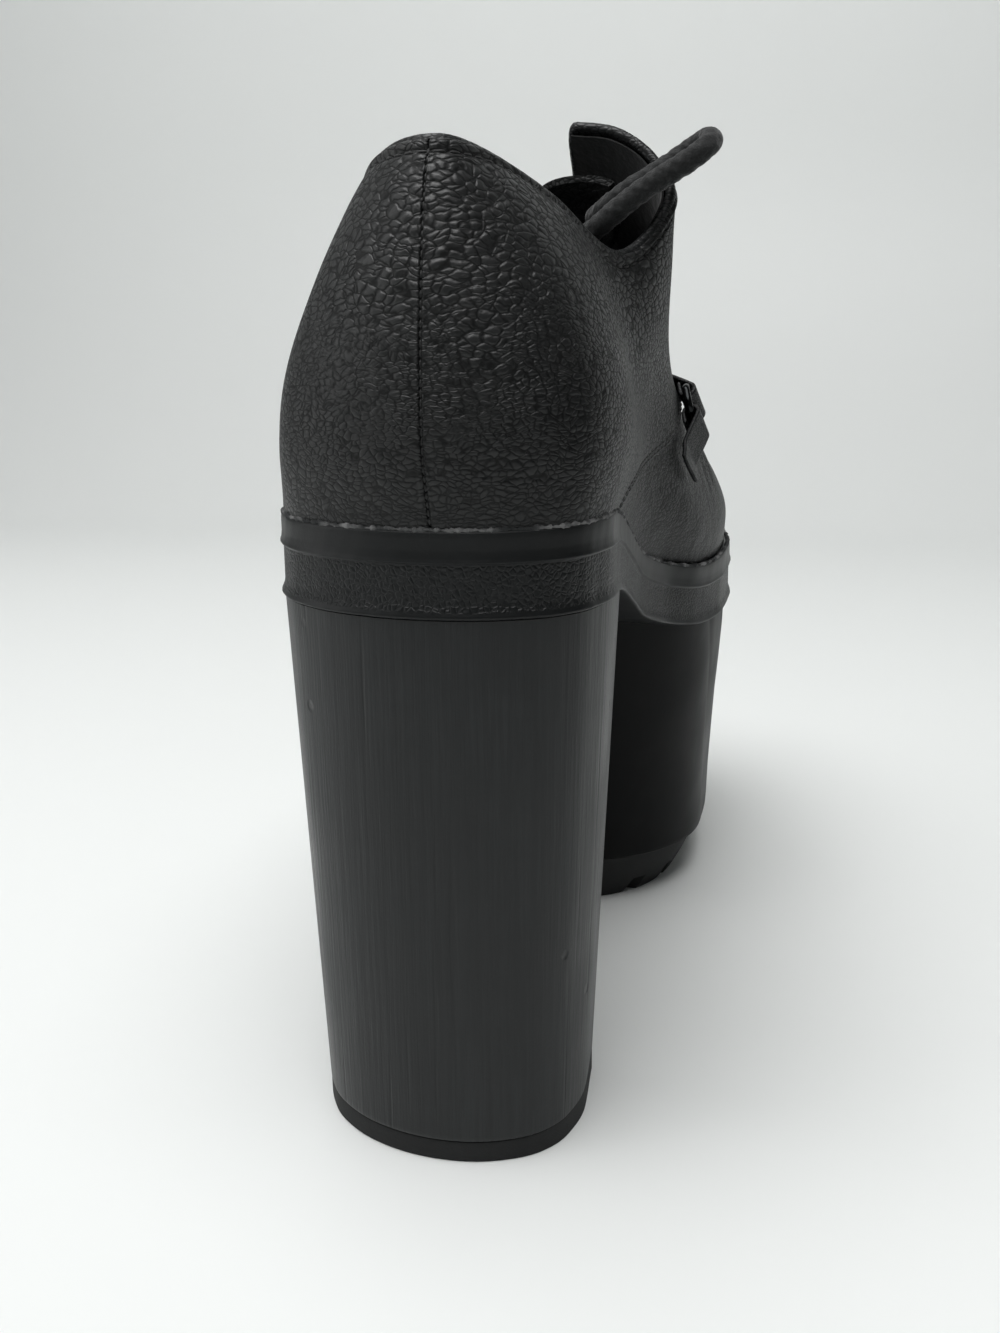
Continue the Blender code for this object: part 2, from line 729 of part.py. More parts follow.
# Eyelets and lace
EYELET_AROUND = 0.685
EYELET_FIRST = 0.685
EYELET_LAST = 0.905
LACE_LIFT = EYELET_SEAT + EYELET_THICK + CLEARANCE + LACE_DIAMETER / 2.0
LACE_UNDER = UPPER_WALL + 2.0 * CLEARANCE + LACE_DIAMETER / 2.0


def eyelet_level(index):
    """Level of one pair of eyelets."""
    return EYELET_FIRST + (EYELET_LAST - EYELET_FIRST) * index / (EYELET_PAIRS - 1)


def eyelet_frame(index, side):
    """Centre on the facing's outer face and three axes of an eyelet."""
    around, level = side * EYELET_AROUND, eyelet_level(index)
    centre = skin_point(around, level, QUARTER_STEP)
    normal = last_normal(around, level)
    across = normal.orthogonal().normalized()
    return centre, across, normal.cross(across), normal


def turned(frame, profile, count):
    """Rows of rings about an eyelet's axis from radius and height pairs."""
    centre, across, other, normal = frame
    rows = []
    for radius, height in profile:
        rows.append([centre + normal * height
                     + across * (radius * math.cos(math.tau * index / count))
                     + other * (radius * math.sin(math.tau * index / count))
                     for index in range(count)])
    return rows


def make_eyelets(upper):
    """Flanged eyelets in the facings, and the holes that they sit in."""
    bore = EYELET_BORE / 2.0
    barrel = bore + EYELET_BARREL
    flange = EYELET_FLANGE / 2.0
    top = EYELET_SEAT + EYELET_THICK
    foot = -(UPPER_WALL + QUARTER_STEP)
    for side, word in ((1, "inner"), (-1, "outer")):
        for index in range(EYELET_PAIRS):
            frame = eyelet_frame(index, side)
            outer = turned(frame, ((barrel, foot), (barrel, EYELET_SEAT), (flange, EYELET_SEAT),
                                   (flange - EYELET_BARREL, top)), 14)
            inner = turned(frame, ((bore, foot), (bore, EYELET_SEAT), (bore, EYELET_SEAT + 0.3 * EYELET_THICK),
                                   (bore + 0.2 * MM, top)), 14)
            name = "eyelet_%s_%d" % (word, index + 1)
            add_object(name, sheet(name, outer, inner, True), "black metal")
            hole = barrel + CLEARANCE
            reach = 4.0 * MM
            rings = turned(frame, ((hole, foot - reach), (hole, reach)), 20)
            cutter = add_cutter("hole_%s_%d" % (word, index + 1), loft(name + "_hole", rings))
            boolean(upper, cutter, "DIFFERENCE")


def lace_points():
    """Route of the lace: bars over the throat joined by runs under the facings."""
    route = []
    side = 1
    for index in range(EYELET_PAIRS):
        level = eyelet_level(index)
        for end in (side, -side):
            centre, _across, _other, normal = eyelet_frame(index, end)
            hole = [centre - normal * (QUARTER_STEP + LACE_UNDER), centre - normal * (1.0 * MM),
                    centre + normal * (LACE_LIFT + 0.6 * MM)]
            bar = [skin_point(end * around, level, QUARTER_STEP + LACE_LIFT - LACE_SAG * sag)
                   for around, sag in ((0.745, 0.0), (0.82, 0.3), (0.92, 0.85))]
            if end == side:
                route += hole + bar
                route.append(skin_point(1.0, level, QUARTER_STEP + LACE_LIFT - LACE_SAG))
            else:
                route += list(reversed(bar)) + list(reversed(hole))
        side = -side
        if index < EYELET_PAIRS - 1:
            middle = (level + eyelet_level(index + 1)) / 2.0
            route.append(skin_point(side * EYELET_AROUND, middle, -LACE_UNDER))
    return route


# Centre line of the bow's loop: out from under the inner facing, over the
# collar and back, in millimetres across, forward from the heel's back and up
LOOP_ROUTE = (
    (18.0, 92.0, 187.0), (17.5, 86.0, 184.6), (17.8, 80.5, 184.0), (21.0, 77.5, 186.0), (25.5, 76.5, 189.0),
    (30.5, 77.0, 191.8), (35.0, 78.6, 194.8), (38.6, 79.0, 197.2), (41.6, 77.4, 198.6),
    (42.6, 74.0, 197.8), (41.0, 70.9, 195.4), (37.6, 70.2, 192.0), (33.5, 71.0, 188.6),
    (28.5, 71.2, 184.8), (23.5, 71.6, 181.4), (18.5, 73.0, 178.8), (13.0, 76.0, 178.0), (8.5, 81.0, 178.4),
)


def make_lace():
    """Lace bars over the throat, and the loop of the bow over the collar."""
    add_tube("lace_bars", smooth_route(lace_points(), 70), LACE_DIAMETER, "lace")
    points = [place(across * MM, forward * MM, up * MM) for across, forward, up in LOOP_ROUTE]
    add_tube("lace_loop", smooth_route(points, 34), LACE_DIAMETER, "lace")


# Rings, tabs and the strap over the vamp
RING_AROUND = 0.565
RING_LEVEL = 0.45
RING_PROUD = 4.9 * MM
RING_TILT = math.radians(41.0)
RING_CORNER = 2.5 * MM
STRAP_CREST = 0.525
STRAP_SWEEP = 0.80
TAB_LENGTH = 14.0 * MM
TAB_LAND = 9.0 * MM
STRAP_LAND = 11.0 * MM
FOLD_LENGTH = 3.0 * MM


def ring_frame(side):
    """Centre, bar axis, strap axis and normal of a ring."""
    base = skin_point(side * RING_AROUND, RING_LEVEL, 0.0)
    normal = last_normal(side * RING_AROUND, RING_LEVEL)
    forward = (Vector((0.0, 1.0, 0.0)) - normal * normal.y).normalized()
    up = Vector((0.0, 0.0, 1.0))
    up = (up - normal * normal.z - forward * up.dot(forward)).normalized()
    bar = forward * math.cos(RING_TILT) - up * math.sin(RING_TILT)
    strap = forward * math.sin(RING_TILT) + up * math.cos(RING_TILT)
    return base + normal * RING_PROUD, bar, strap, normal


def make_ring(side, name):
    """Rectangular metal ring, its long bars across the strap."""
    centre, bar, strap, _normal = ring_frame(side)
    half_long = (RING_LENGTH - RING_STOCK) / 2.0 - RING_CORNER
    half_short = (RING_WIDTH - RING_STOCK) / 2.0 - RING_CORNER
    points = []
    for index, (along, across) in enumerate(((1, 1), (-1, 1), (-1, -1), (1, -1))):
        for part in range(4):
            angle = math.pi / 2.0 * (index + part / 3.0)
            points.append(centre + bar * (along * half_long + RING_CORNER * math.cos(angle))
                          + strap * (across * half_short + RING_CORNER * math.sin(angle)))
    add_tube(name, points, RING_STOCK, "black metal", True)


WRAP_START = math.radians(-38.0)


def bar_wrap(side, toward, across):
    """Centre line of leather round a ring's bar, from over its outer side to its fold's end."""
    centre, bar, strap, normal = ring_frame(side)
    reach = (RING_WIDTH - RING_STOCK) / 2.0
    radius = RING_STOCK / 2.0 + CLEARANCE + STRAP_THICK / 2.0
    middle = centre + strap * (toward * reach) + bar * across
    points = []
    for part in range(9):
        angle = WRAP_START + (math.pi - WRAP_START) * part / 8.0
        direction = normal * math.cos(angle) - strap * (toward * math.sin(angle))
        points.append((middle + direction * radius, direction))
    points.append((middle - normal * radius + strap * (toward * FOLD_LENGTH), -normal))
    return points


def leather_band(name, stations, finish):
    """Closed leather band from stations of centre points and outward directions."""
    outer = [[spot + out * (STRAP_THICK / 2.0) for spot, out in station] for station in stations]
    inner = [[spot - out * (STRAP_THICK / 2.0) for spot, out in station] for station in stations]
    add_object(name, sheet(name, outer, inner, False), finish)


BAND_ACROSS = (-1.0, -0.6, -0.2, 0.2, 0.6, 1.0)


def drape_row(tree, spot, wide, lie):
    """Row across a band that lies on the skin, with its outward directions."""
    row = []
    for share in BAND_ACROSS:
        at = drape(tree, spot + wide * (STRAP_WIDTH / 2.0 * share), lie)
        row.append((at, (drape(tree, at, lie + MM) - at).normalized()))
    return row


def make_strap(tree):
    """Strap over the vamp between the two rings, folded round a bar of each."""
    lie = CLEARANCE + STRAP_THICK / 2.0
    crest = skin_point(1.0, STRAP_CREST, 0.0)
    reach = (RING_WIDTH - RING_STOCK) / 2.0
    halves = []
    high = QUARTER_STEP + lie
    for side in (1, -1):
        centre, bar, strap, _normal = ring_frame(side)
        wraps = [bar_wrap(side, 1, STRAP_WIDTH / 2.0 * share) for share in BAND_ACROSS]
        rows = [[column[index] for column in wraps] for index in range(len(wraps[0]) - 1, -1, -1)]
        start = drape(tree, centre + strap * (reach + STRAP_LAND), 0.0)
        middle = start.lerp(crest, 0.5)
        middle.y = start.y + (crest.y - start.y) * STRAP_SWEEP
        middle.z = crest.z
        guide = [start, drape(tree, middle, 0.0), crest]
        line = [drape(tree, spot, 0.0) for spot in smooth_route(guide, 12)]
        for index in range(len(line) - 1):
            share = index / (len(line) - 1)
            out = (drape(tree, line[index], MM) - line[index]).normalized()
            wide = (line[index + 1] - line[index]).cross(out).normalized()
            if wide.dot(bar) < 0.0:
                wide = -wide
            wide = wide.lerp(bar, 1.0 - smooth_step(0.0, 0.4, share)).normalized()
            rows.append(drape_row(tree, line[index], wide, high + (lie - high) * smooth_step(0.3, 0.9, share)))
        halves.append(rows)
    middle = drape_row(tree, crest, Vector((0.0, 1.0, 0.0)), lie)
    stations = halves[0] + [middle] + list(reversed(halves[1]))
    leather_band("vamp_strap", stations, "leather")


def make_tab(tree, side, name):
    """Tab stitched on the quarter's corner and folded round the ring's rear bar."""
    centre, bar, strap, _normal = ring_frame(side)
    reach = (RING_WIDTH - RING_STOCK) / 2.0
    lie = QUARTER_STEP + CLEARANCE + STRAP_THICK / 2.0
    wraps = [bar_wrap(side, -1, STRAP_WIDTH / 2.0 * share) for share in BAND_ACROSS]
    rows = [[column[index] for column in wraps] for index in range(len(wraps[0]) - 1, -1, -1)]
    for step in (0.0, 0.45, 1.0):
        spot = centre - strap * (reach + TAB_LAND + (TAB_LENGTH - TAB_LAND) * step)
        rows.append(drape_row(tree, spot, bar, lie))
    leather_band(name, rows, "leather")


def main():
    """Build every piece of the shoe."""
    for old in list(bpy.data.objects):
        bpy.data.objects.remove(old)
    for name in ("platform_shoe", "cutters"):
        collection = bpy.data.collections.new(name)
        bpy.context.scene.collection.children.link(collection)
    make_sole()
    make_tread()
    make_heel()
    make_insole()
    make_eyelets(make_upper())
    make_tongue()
    make_lace()
    tree = skin_tree()
    for side, word in ((1, "inner"), (-1, "outer")):
        make_ring(side, "ring_" + word)
        make_tab(tree, side, "ring_tab_" + word)
    make_strap(tree)


main()
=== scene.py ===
"""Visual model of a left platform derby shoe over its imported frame.

Everything is in metres in the frame of the CAD: +Y runs to the toe, +X to the
inner side of the foot and +Z up, with the origin under the heel's top piece.
"""

import logging
import math
from collections.abc import Callable
from dataclasses import dataclass, field
from enum import Enum

import bpy
import numpy as np
from mathutils import Matrix, Vector
from mathutils.bvhtree import BVHTree


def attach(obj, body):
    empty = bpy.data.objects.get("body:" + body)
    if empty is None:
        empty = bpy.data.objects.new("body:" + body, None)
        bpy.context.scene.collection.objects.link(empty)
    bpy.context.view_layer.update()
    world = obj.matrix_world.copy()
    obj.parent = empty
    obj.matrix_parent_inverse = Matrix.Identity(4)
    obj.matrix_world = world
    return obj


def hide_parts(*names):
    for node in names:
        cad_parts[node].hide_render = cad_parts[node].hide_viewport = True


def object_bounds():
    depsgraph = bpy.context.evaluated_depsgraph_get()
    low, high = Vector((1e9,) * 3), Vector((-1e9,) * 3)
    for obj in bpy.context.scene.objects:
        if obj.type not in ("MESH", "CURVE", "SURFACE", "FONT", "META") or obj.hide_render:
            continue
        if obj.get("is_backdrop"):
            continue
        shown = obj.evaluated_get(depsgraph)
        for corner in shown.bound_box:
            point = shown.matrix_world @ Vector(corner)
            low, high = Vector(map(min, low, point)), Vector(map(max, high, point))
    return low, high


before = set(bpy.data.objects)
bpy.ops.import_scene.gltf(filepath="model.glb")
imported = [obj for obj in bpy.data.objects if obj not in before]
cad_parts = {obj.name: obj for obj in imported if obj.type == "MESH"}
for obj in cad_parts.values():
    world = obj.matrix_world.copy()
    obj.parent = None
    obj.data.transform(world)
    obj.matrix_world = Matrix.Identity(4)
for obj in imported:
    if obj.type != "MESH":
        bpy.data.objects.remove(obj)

LOG = logging.getLogger("platform_shoe")
MM = 0.001
WELD_REACH = 0.002 * MM
# Metres for each unit of place round the outline
AROUND_UNIT = 300.0 * MM
Array = np.ndarray
Socket = bpy.types.NodeSocket
Shape = Callable[[Array, Array], Array]


# Sizes
@dataclass(frozen=True)
class ShoeSizes:
    """Driving sizes of the shoe, the same as those of the CAD."""

    length: float = 246.0 * MM
    ball_width: float = 95.5 * MM
    heel_height: float = 126.0 * MM
    forepart_height: float = 98.0 * MM
    toe_spring: float = 7.0 * MM
    heel_centre: float = 21.0 * MM
    back_height: float = 65.0 * MM
    band_height: float = 16.0 * MM
    rim_ledge: float = 1.6 * MM
    upper_wall: float = 1.8 * MM
    quarter_step: float = 1.1 * MM
    clearance: float = 0.3 * MM
    throat_level: float = 0.60
    slit_around: float = 0.780


class Side(Enum):
    """Side of the foot, as the sign of X."""

    INNER = 1
    OUTER = -1


# Outline of the sole's rim: forward share of the length, then the inner and
# outer half widths as shares of half the ball width
OUTLINE = (
    # forward, inner, outer
    (0.000, 0.00, 0.00),
    (0.008, 0.25, 0.28),
    (0.028, 0.44, 0.50),
    (0.062, 0.56, 0.68),
    (0.110, 0.61, 0.785),
    (0.190, 0.59, 0.82),
    (0.280, 0.58, 0.82),
    (0.370, 0.58, 0.82),
    (0.450, 0.66, 0.86),
    (0.530, 0.83, 0.93),
    (0.620, 0.93, 0.99),
    (0.715, 0.95, 1.02),
    (0.800, 0.90, 0.99),
    (0.880, 0.76, 0.85),
    (0.945, 0.52, 0.58),
    (0.985, 0.26, 0.29),
    (1.000, 0.00, 0.00),
)
END_SLOPE = 1.12

# The last: each rib's foot on the outline, then forward, inner, outer and up
# at the five levels over the feather
LEVELS = (0.0, 0.14, 0.34, 0.60, 0.82, 1.0)
RIBS = (
    # foot, fall of the outer side's top, (forward, inner, outer, up) at the five levels
    (0.000, 0.00, ((-0.010, 0.00, 0.00, 0.20), (-0.010, 0.00, 0.00, 0.42),
                   (0.000, 0.00, 0.00, 0.70), (0.014, 0.00, 0.00, 0.89), (0.030, 0.00, 0.00, 1.00))),
    (0.040, 0.00, ((0.034, 0.50, 0.565, 0.20), (0.036, 0.48, 0.535, 0.41),
                   (0.045, 0.38, 0.43, 0.66), (0.058, 0.25, 0.32, 0.86), (0.070, 0.14, 0.24, 0.98))),
    (0.110, 0.00, ((0.108, 0.62, 0.735, 0.20), (0.112, 0.61, 0.70, 0.39),
                   (0.122, 0.52, 0.60, 0.61), (0.136, 0.40, 0.50, 0.79), (0.150, 0.30, 0.43, 0.90))),
    (0.220, 0.00, ((0.222, 0.61, 0.785, 0.20), (0.228, 0.60, 0.765, 0.36),
                   (0.238, 0.57, 0.71, 0.55), (0.250, 0.54, 0.66, 0.70), (0.262, 0.515, 0.62, 0.823))),
    (0.370, 0.00, ((0.366, 0.59, 0.81, 0.20), (0.358, 0.61, 0.79, 0.42),
                   (0.344, 0.64, 0.75, 0.74), (0.332, 0.68, 0.72, 1.02), (0.325, 0.71, 0.71, 1.20))),
    (0.530, 0.03, ((0.520, 0.83, 0.94, 0.20), (0.486, 0.73, 0.86, 0.46),
                   (0.430, 0.65, 0.74, 0.86), (0.382, 0.66, 0.69, 1.24), (0.345, 0.62, 0.60, 1.50))),
    (0.700, 0.08, ((0.690, 0.92, 0.98, 0.20), (0.645, 0.78, 0.84, 0.46),
                   (0.520, 0.56, 0.61, 0.82), (0.430, 0.50, 0.52, 1.22), (0.354, 0.45, 0.45, 1.60))),
    (0.860, 0.11, ((0.850, 0.73, 0.81, 0.24), (0.780, 0.53, 0.58, 0.44),
                   (0.590, 0.32, 0.35, 0.73), (0.455, 0.27, 0.28, 1.22), (0.357, 0.26, 0.26, 1.60))),
    (1.000, 0.00, ((0.985, 0.00, 0.00, 0.20), (0.860, 0.00, 0.00, 0.40),
                   (0.610, 0.00, 0.00, 0.66), (0.460, 0.00, 0.00, 1.16), (0.358, 0.00, 0.00, 1.54))),
)

# The front edge of the quarters: level, and place round the outline
QUARTER_EDGE = (
    (0.00, 0.281),
    (0.14, 0.360),
    (0.34, 0.460),
    (0.47, 0.560),
    (0.60, 0.780),
)


# Curves
def smooth_step(low: float, high: float, value: Array) -> Array:
    """Rise from 0 to 1 between two values with level ends.

    Args:
        low: Where the rise starts.
        high: Where it ends.
        value: Where it is read.

    Returns:
        The rise at each value.
    """
    share = np.clip((np.asarray(value, dtype=float) - low) / (high - low), 0.0, 1.0)
    return share * share * (3.0 - 2.0 * share)


def held_slopes(knots: Array, values: Array) -> Array:
    """Slopes of a cubic through the values that never overshoots them.

    Args:
        knots: Places of the values.
        values: One value for each knot.

    Returns:
        A slope for each knot.
    """
    steps = np.diff(knots)
    rises = np.diff(values) / steps
    result = np.zeros(len(knots))
    result[0], result[-1] = rises[0], rises[-1]
    for index in range(1, len(rises)):
        before, after = rises[index - 1], rises[index]
        if before * after > 0.0:
            wide = 2.0 * steps[index] + steps[index - 1]
            narrow = steps[index] + 2.0 * steps[index - 1]
            result[index] = (wide + narrow) / (wide / before + narrow / after)
    return result


def free_slopes(knots: Array, values: Array) -> Array:
    """Slopes of a free cubic, from each knot's neighbours.

    Args:
        knots: Places of the values.
        values: A value or an array of values for each knot.

    Returns:
        A slope for each value.
    """
    index = np.arange(len(knots))
    before, after = np.maximum(index - 1, 0), np.minimum(index + 1, len(knots) - 1)
    span = (knots[after] - knots[before]).reshape(-1, *(1,) * (values.ndim - 1))
    return (values[after] - values[before]) / span


def found_spans(knots: Array, places: Array) -> tuple[Array, Array, Array]:
    """Find the span between two knots that each place lies in.

    Args:
        knots: Ends of the spans, in order.
        places: The places.

    Returns:
        For each place its span, its share along the span and the span's length.
    """
    index = np.clip(np.searchsorted(knots, places, side="left") - 1, 0, len(knots) - 2)
    step = knots[index + 1] - knots[index]
    return index, (places - knots[index]) / step, step


def cubic(share: Array, low: Array, high: Array,
          start: Array, end: Array) -> Array:
    """Cubic between two values with given slopes.

    Args:
        share: Shares of the way, from 0 to 1.
        low: Values at 0.
        high: Values at 1.
        start: Slopes at 0, for the whole way.
        end: Slopes at 1, for the whole way.

    Returns:
        The values at the shares.
    """
    rise = 3.0 * (high - low)
    square = (rise - 2.0 * start - end) + share * (start + end - 2.0 * (high - low))
    return low + share * (start + share * square)


def hermite(knots: Array, values: Array, slopes: Array, places: Array) -> Array:
    """Read a cubic with given slopes.

    Args:
        knots: Places of the values.
        values: A value or an array of values for each knot.
        slopes: Slopes of the same shape as the values.
        places: Where the cubic is read.

    Returns:
        One value, or array of values, for each place.
    """
    index, share, step = found_spans(knots, places)
    extra = (1,) * (values.ndim - 1)
    share, step = share.reshape(-1, *extra), step.reshape(-1, *extra)
    return cubic(share, values[index], values[index + 1], slopes[index] * step, slopes[index + 1] * step)


def free_curve(knots: Array, values: Array, places: Array) -> Array:
    """Read a free cubic through values.

    Args:
        knots: Places of the values.
        values: A value or an array of values for each knot.
        places: Where the cubic is read.

    Returns:
        One value, or array of values, for each place.
    """
    return hermite(knots, values, free_slopes(knots, values), places)


def read_columns(places: float | Array, knots: Array,
                 table: Array) -> list[float | Array]:
    """Read every column of a table on straight lines between its rows.

    Args:
        places: Where it is read.
        knots: Place of each row.
        table: The table.

    Returns:
        One value, or one array of values, for each column.
    """
    return [np.interp(places, knots, column) for column in table.T]


def running_length(path: Array) -> Array:
    """Length of a line up to each of its points.

    Args:
        path: Points of the line.

    Returns:
        The length at each point.
    """
    return np.concatenate(([0.0], np.cumsum(np.linalg.norm(np.diff(path, axis=0), axis=1))))


def smooth_route(points: Array, count: int) -> Array:
    """Evenly stepped points on a smooth curve through a route.

    Args:
        points: The route's own points.
        count: How many points are wanted.

    Returns:
        The new points.
    """
    knots = running_length(points)
    return free_curve(knots, points, np.linspace(0.0, knots[-1], count))


def even_loop(points: Array, shares: Array) -> Array:
    """Points at even shares of the length of a closed line.

    Args:
        points: Corners of the closed line.
        shares: Shares of its length, from 0 to 1.

    Returns:
        A point for each share.
    """
    closed = np.vstack((points, points[:1]))
    knots = running_length(closed)
    return np.stack(read_columns(shares * knots[-1], knots, closed), axis=1)


def eased(share: Array, ease: float) -> Array:
    """Crowd even shares towards both ends.

    Args:
        share: Even shares from 0 to 1.
        ease: How much closer the ends are, from 0 to under 1.

    Returns:
        The crowded shares.
    """
    return share - ease * np.sin(2.0 * math.pi * share) / (2.0 * math.pi)


def rounded(distance: Array, radius: float) -> Array:
    """Drop of an edge that is rolled over a radius.

    Args:
        distance: Distance from the edge.
        radius: The roll's radius.

    Returns:
        How far the surface has dropped at each distance.
    """
    share = np.clip(1.0 - distance / radius, 0.0, 1.0)
    return radius * (1.0 - np.sqrt(1.0 - share * share))


def ripple(value: Array, seed: float) -> Array:
    """Uneven wave between about -1 and 1 that is the same on each run.

    Args:
        value: Where it is read.
        seed: Shifts the wave.

    Returns:
        The wave at each value.
    """
    waves = ((1.0, 1.0), (2.37, 2.1), (5.13, 4.7))
    return sum(np.sin(value * pace + shift * seed) for pace, shift in waves) / len(waves)


# The last
@dataclass
class Last:
    """Surface of the shoe's last, the one that the CAD's upper follows."""

    sizes: ShoeSizes = field(default_factory=ShoeSizes)
    turns: Array = field(init=False)
    widths: dict[int, Array] = field(init=False)
    width_slopes: dict[int, Array] = field(init=False)
    knots: Array = field(init=False)
    rows: Array = field(init=False)
    row_slopes: Array = field(init=False)
    edge_knots: Array = field(init=False)
    edge_values: Array = field(init=False)

    def __post_init__(self) -> None:
        """Fill the tables that the surface is read from."""
        table = np.array(OUTLINE)
        self.turns = np.arccos(1.0 - 2.0 * table[:, 0]) / math.pi
        self.widths = {1: table[:, 1], -1: table[:, 2]}
        self.width_slopes = {}
        for sign, values in self.widths.items():
            slopes = held_slopes(self.turns, values)
            slopes[[0, -1]] *= END_SLOPE
            self.width_slopes[sign] = slopes
        self.knots, self.rows = self.loop_table()
        self.row_slopes = free_slopes(self.knots, self.rows)
        edge = np.array(QUARTER_EDGE)
        self.edge_knots, self.edge_values = edge[:, 0], edge[:, 1]

    def loop_table(self) -> tuple[Array, Array]:
        """Put the ribs of both sides in order all round the shoe.

        Returns:
            The ribs' places and their level points, wrapped past both ends.
        """
        size = self.sizes
        rows = []
        for sign in (-1, 1):
            for share, fall, levels in RIBS:
                foot = math.acos(1.0 - 2.0 * share) / math.pi
                base = float(self.rim_height(np.array([share * size.length]))[0])
                falls = (fall if sign < 0 else 0.0) * smooth_step(0.6, 1.0, np.array(LEVELS[1:]))
                points = [(sign * (inner if sign > 0 else outer) * size.ball_width / 2.0,
                           forward * size.length, base + (up - drop) * size.back_height)
                          for (forward, inner, outer, up), drop in zip(levels, falls)]
                if sign > 0 or 0.0 < foot < 1.0:
                    rows.append((sign * foot, points))
        rows.sort(key=lambda row: row[0])
        head = [(knot - 2.0, points) for knot, points in rows[-2:]]
        tail = [(knot + 2.0, points) for knot, points in rows[:2]]
        table = head + rows + tail
        return np.array([row[0] for row in table]), np.array([row[1] for row in table])

    def rim_height(self, forward: Array) -> Array:
        """Height of the sole's rim over the floor.

        Args:
            forward: Distances from the heel's back.

        Returns:
            The height at each distance.
        """
        size = self.sizes
        share = forward / size.length
        fall = smooth_step(0.10, 0.57, share)
        spring = np.maximum(share - 0.72, 0.0) / 0.28
        return (size.heel_height + (size.forepart_height - size.heel_height) * fall
                + size.toe_spring * spring * spring)

    def half_width(self, share: Array, sign: Array) -> Array:
        """Half width of the rim on one side.

        Args:
            share: Forward shares of the length.
            sign: 1 for the inner side and -1 for the outer, for each share.

        Returns:
            The half widths.
        """
        turn = np.arccos(1.0 - 2.0 * np.clip(share, 0.0, 1.0)) / math.pi
        inner = hermite(self.turns, self.widths[1], self.width_slopes[1], turn)
        outer = hermite(self.turns, self.widths[-1], self.width_slopes[-1], turn)
        return np.where(sign > 0, inner, outer) * self.sizes.ball_width / 2.0

    def outline(self, turn: Array, sign: Array, inset: Array | float = 0.0) -> Array:
        """Points of the rim's outline, moved inwards.

        Args:
            turn: Turn shares, 0 at the heel's back and 1 at the toe.
            sign: Side of each point.
            inset: How far the points move inwards.

        Returns:
            Side and forward of each point.
        """
        step = 0.002
        spots = []
        for value in (turn - step, turn, turn + step):
            past = (value < 0.0) | (value > 1.0)
            flip = np.where(past, -sign, sign)
            value = np.where(value < 0.0, -value, np.where(value > 1.0, 2.0 - value, value))
            share = (1.0 - np.cos(math.pi * value)) / 2.0
            spots.append(np.stack((flip * self.half_width(share, flip), share * self.sizes.length), axis=1))
        along = spots[2] - spots[0]
        along = along / np.linalg.norm(along, axis=1, keepdims=True)
        normal = np.stack((-along[:, 1] * sign, along[:, 0] * sign), axis=1)
        return spots[1] + normal * np.reshape(inset, (-1, 1))

    def point(self, around: Array, level: Array) -> Array:
        """Points of the last in its own frame.

        Args:
            around: Places round the outline, from -1 to 1, 0 at the heel's back.
            level: Levels from the feather (0) to the top edge (1).

        Returns:
            Side, forward and height of each point.
        """
        around = np.where(around > 1.0, around - 2.0, np.where(around < -1.0, around + 2.0, around))
        sign = np.where(around >= 0.0, 1.0, -1.0)
        feather = self.outline(np.abs(around), sign, self.sizes.rim_ledge)
        columns = np.empty((len(around), len(LEVELS), 3))
        columns[:, 0, :2] = feather
        columns[:, 0, 2] = self.rim_height(feather[:, 1])
        columns[:, 1:] = hermite(self.knots, self.rows, self.row_slopes, around)
        knots = np.array(LEVELS)
        slopes = free_slopes(knots, columns.transpose(1, 0, 2)).transpose(1, 0, 2)
        index, share, step = found_spans(knots, level)
        item, step = np.arange(len(around)), step[:, None]
        return cubic(share[:, None], columns[item, index], columns[item, index + 1],
                     slopes[item, index] * step, slopes[item, index + 1] * step)

    def normal(self, around: Array, level: Array) -> Array:
        """Outward directions of the last, level at the feather.

        Args:
            around: Places round the outline.
            level: Levels.

        Returns:
            A direction for each place.
        """
        step = 0.004
        low, high = np.maximum(level - step, 0.0), np.minimum(level + step, 1.0)
        along = self.point(around + step, level) - self.point(around - step, level)
        up = self.point(around, high) - self.point(around, low)
        normal = np.cross(along, up)
        normal[:, 2] *= smooth_step(0.0, 0.10, level)
        return normal / np.linalg.norm(normal, axis=1, keepdims=True)

    def skin(self, around: Array, level: Array, proud: Array | float) -> Array:
        """Points of the shoe's frame over or under the last.

        Args:
            around: Places round the outline.
            level: Levels.
            proud: How far the points stand off the last.

        Returns:
            The points.
        """
        pair = (np.atleast_1d(value).astype(float) for value in (around, level))
        around, level = np.broadcast_arrays(*pair)
        point = self.point(around, level) + self.normal(around, level) * np.reshape(proud, (-1, 1))
        seated = self.rim_height(point[:, 1]) + self.sizes.clearance
        point[:, 2] = np.where(level <= 0.0, seated, point[:, 2])
        return self.place(point)

    def place(self, points: Array) -> Array:
        """Move points from the last's own frame to the shoe's.

        Args:
            points: Points whose second value starts at the heel's back.

        Returns:
            The same points in the shoe's frame.
        """
        moved = points.copy()
        moved[:, 1] -= self.sizes.heel_centre
        return moved

    def edge(self, level: Array) -> Array:
        """Place of the quarters' front edge.

        Args:
            level: Levels.

        Returns:
            The place round the outline at each level.
        """
        slopes = held_slopes(self.edge_knots, self.edge_values)
        values = hermite(self.edge_knots, self.edge_values, slopes, level)
        return np.where(level >= self.edge_knots[-1], self.sizes.slit_around, values)


# Mesh tools
def only(thing: bpy.types.Object) -> None:
    """Select one object and make it the active one.

    Args:
        thing: The object.
    """
    bpy.ops.object.select_all(action="DESELECT")
    thing.select_set(True)
    bpy.context.view_layer.objects.active = thing


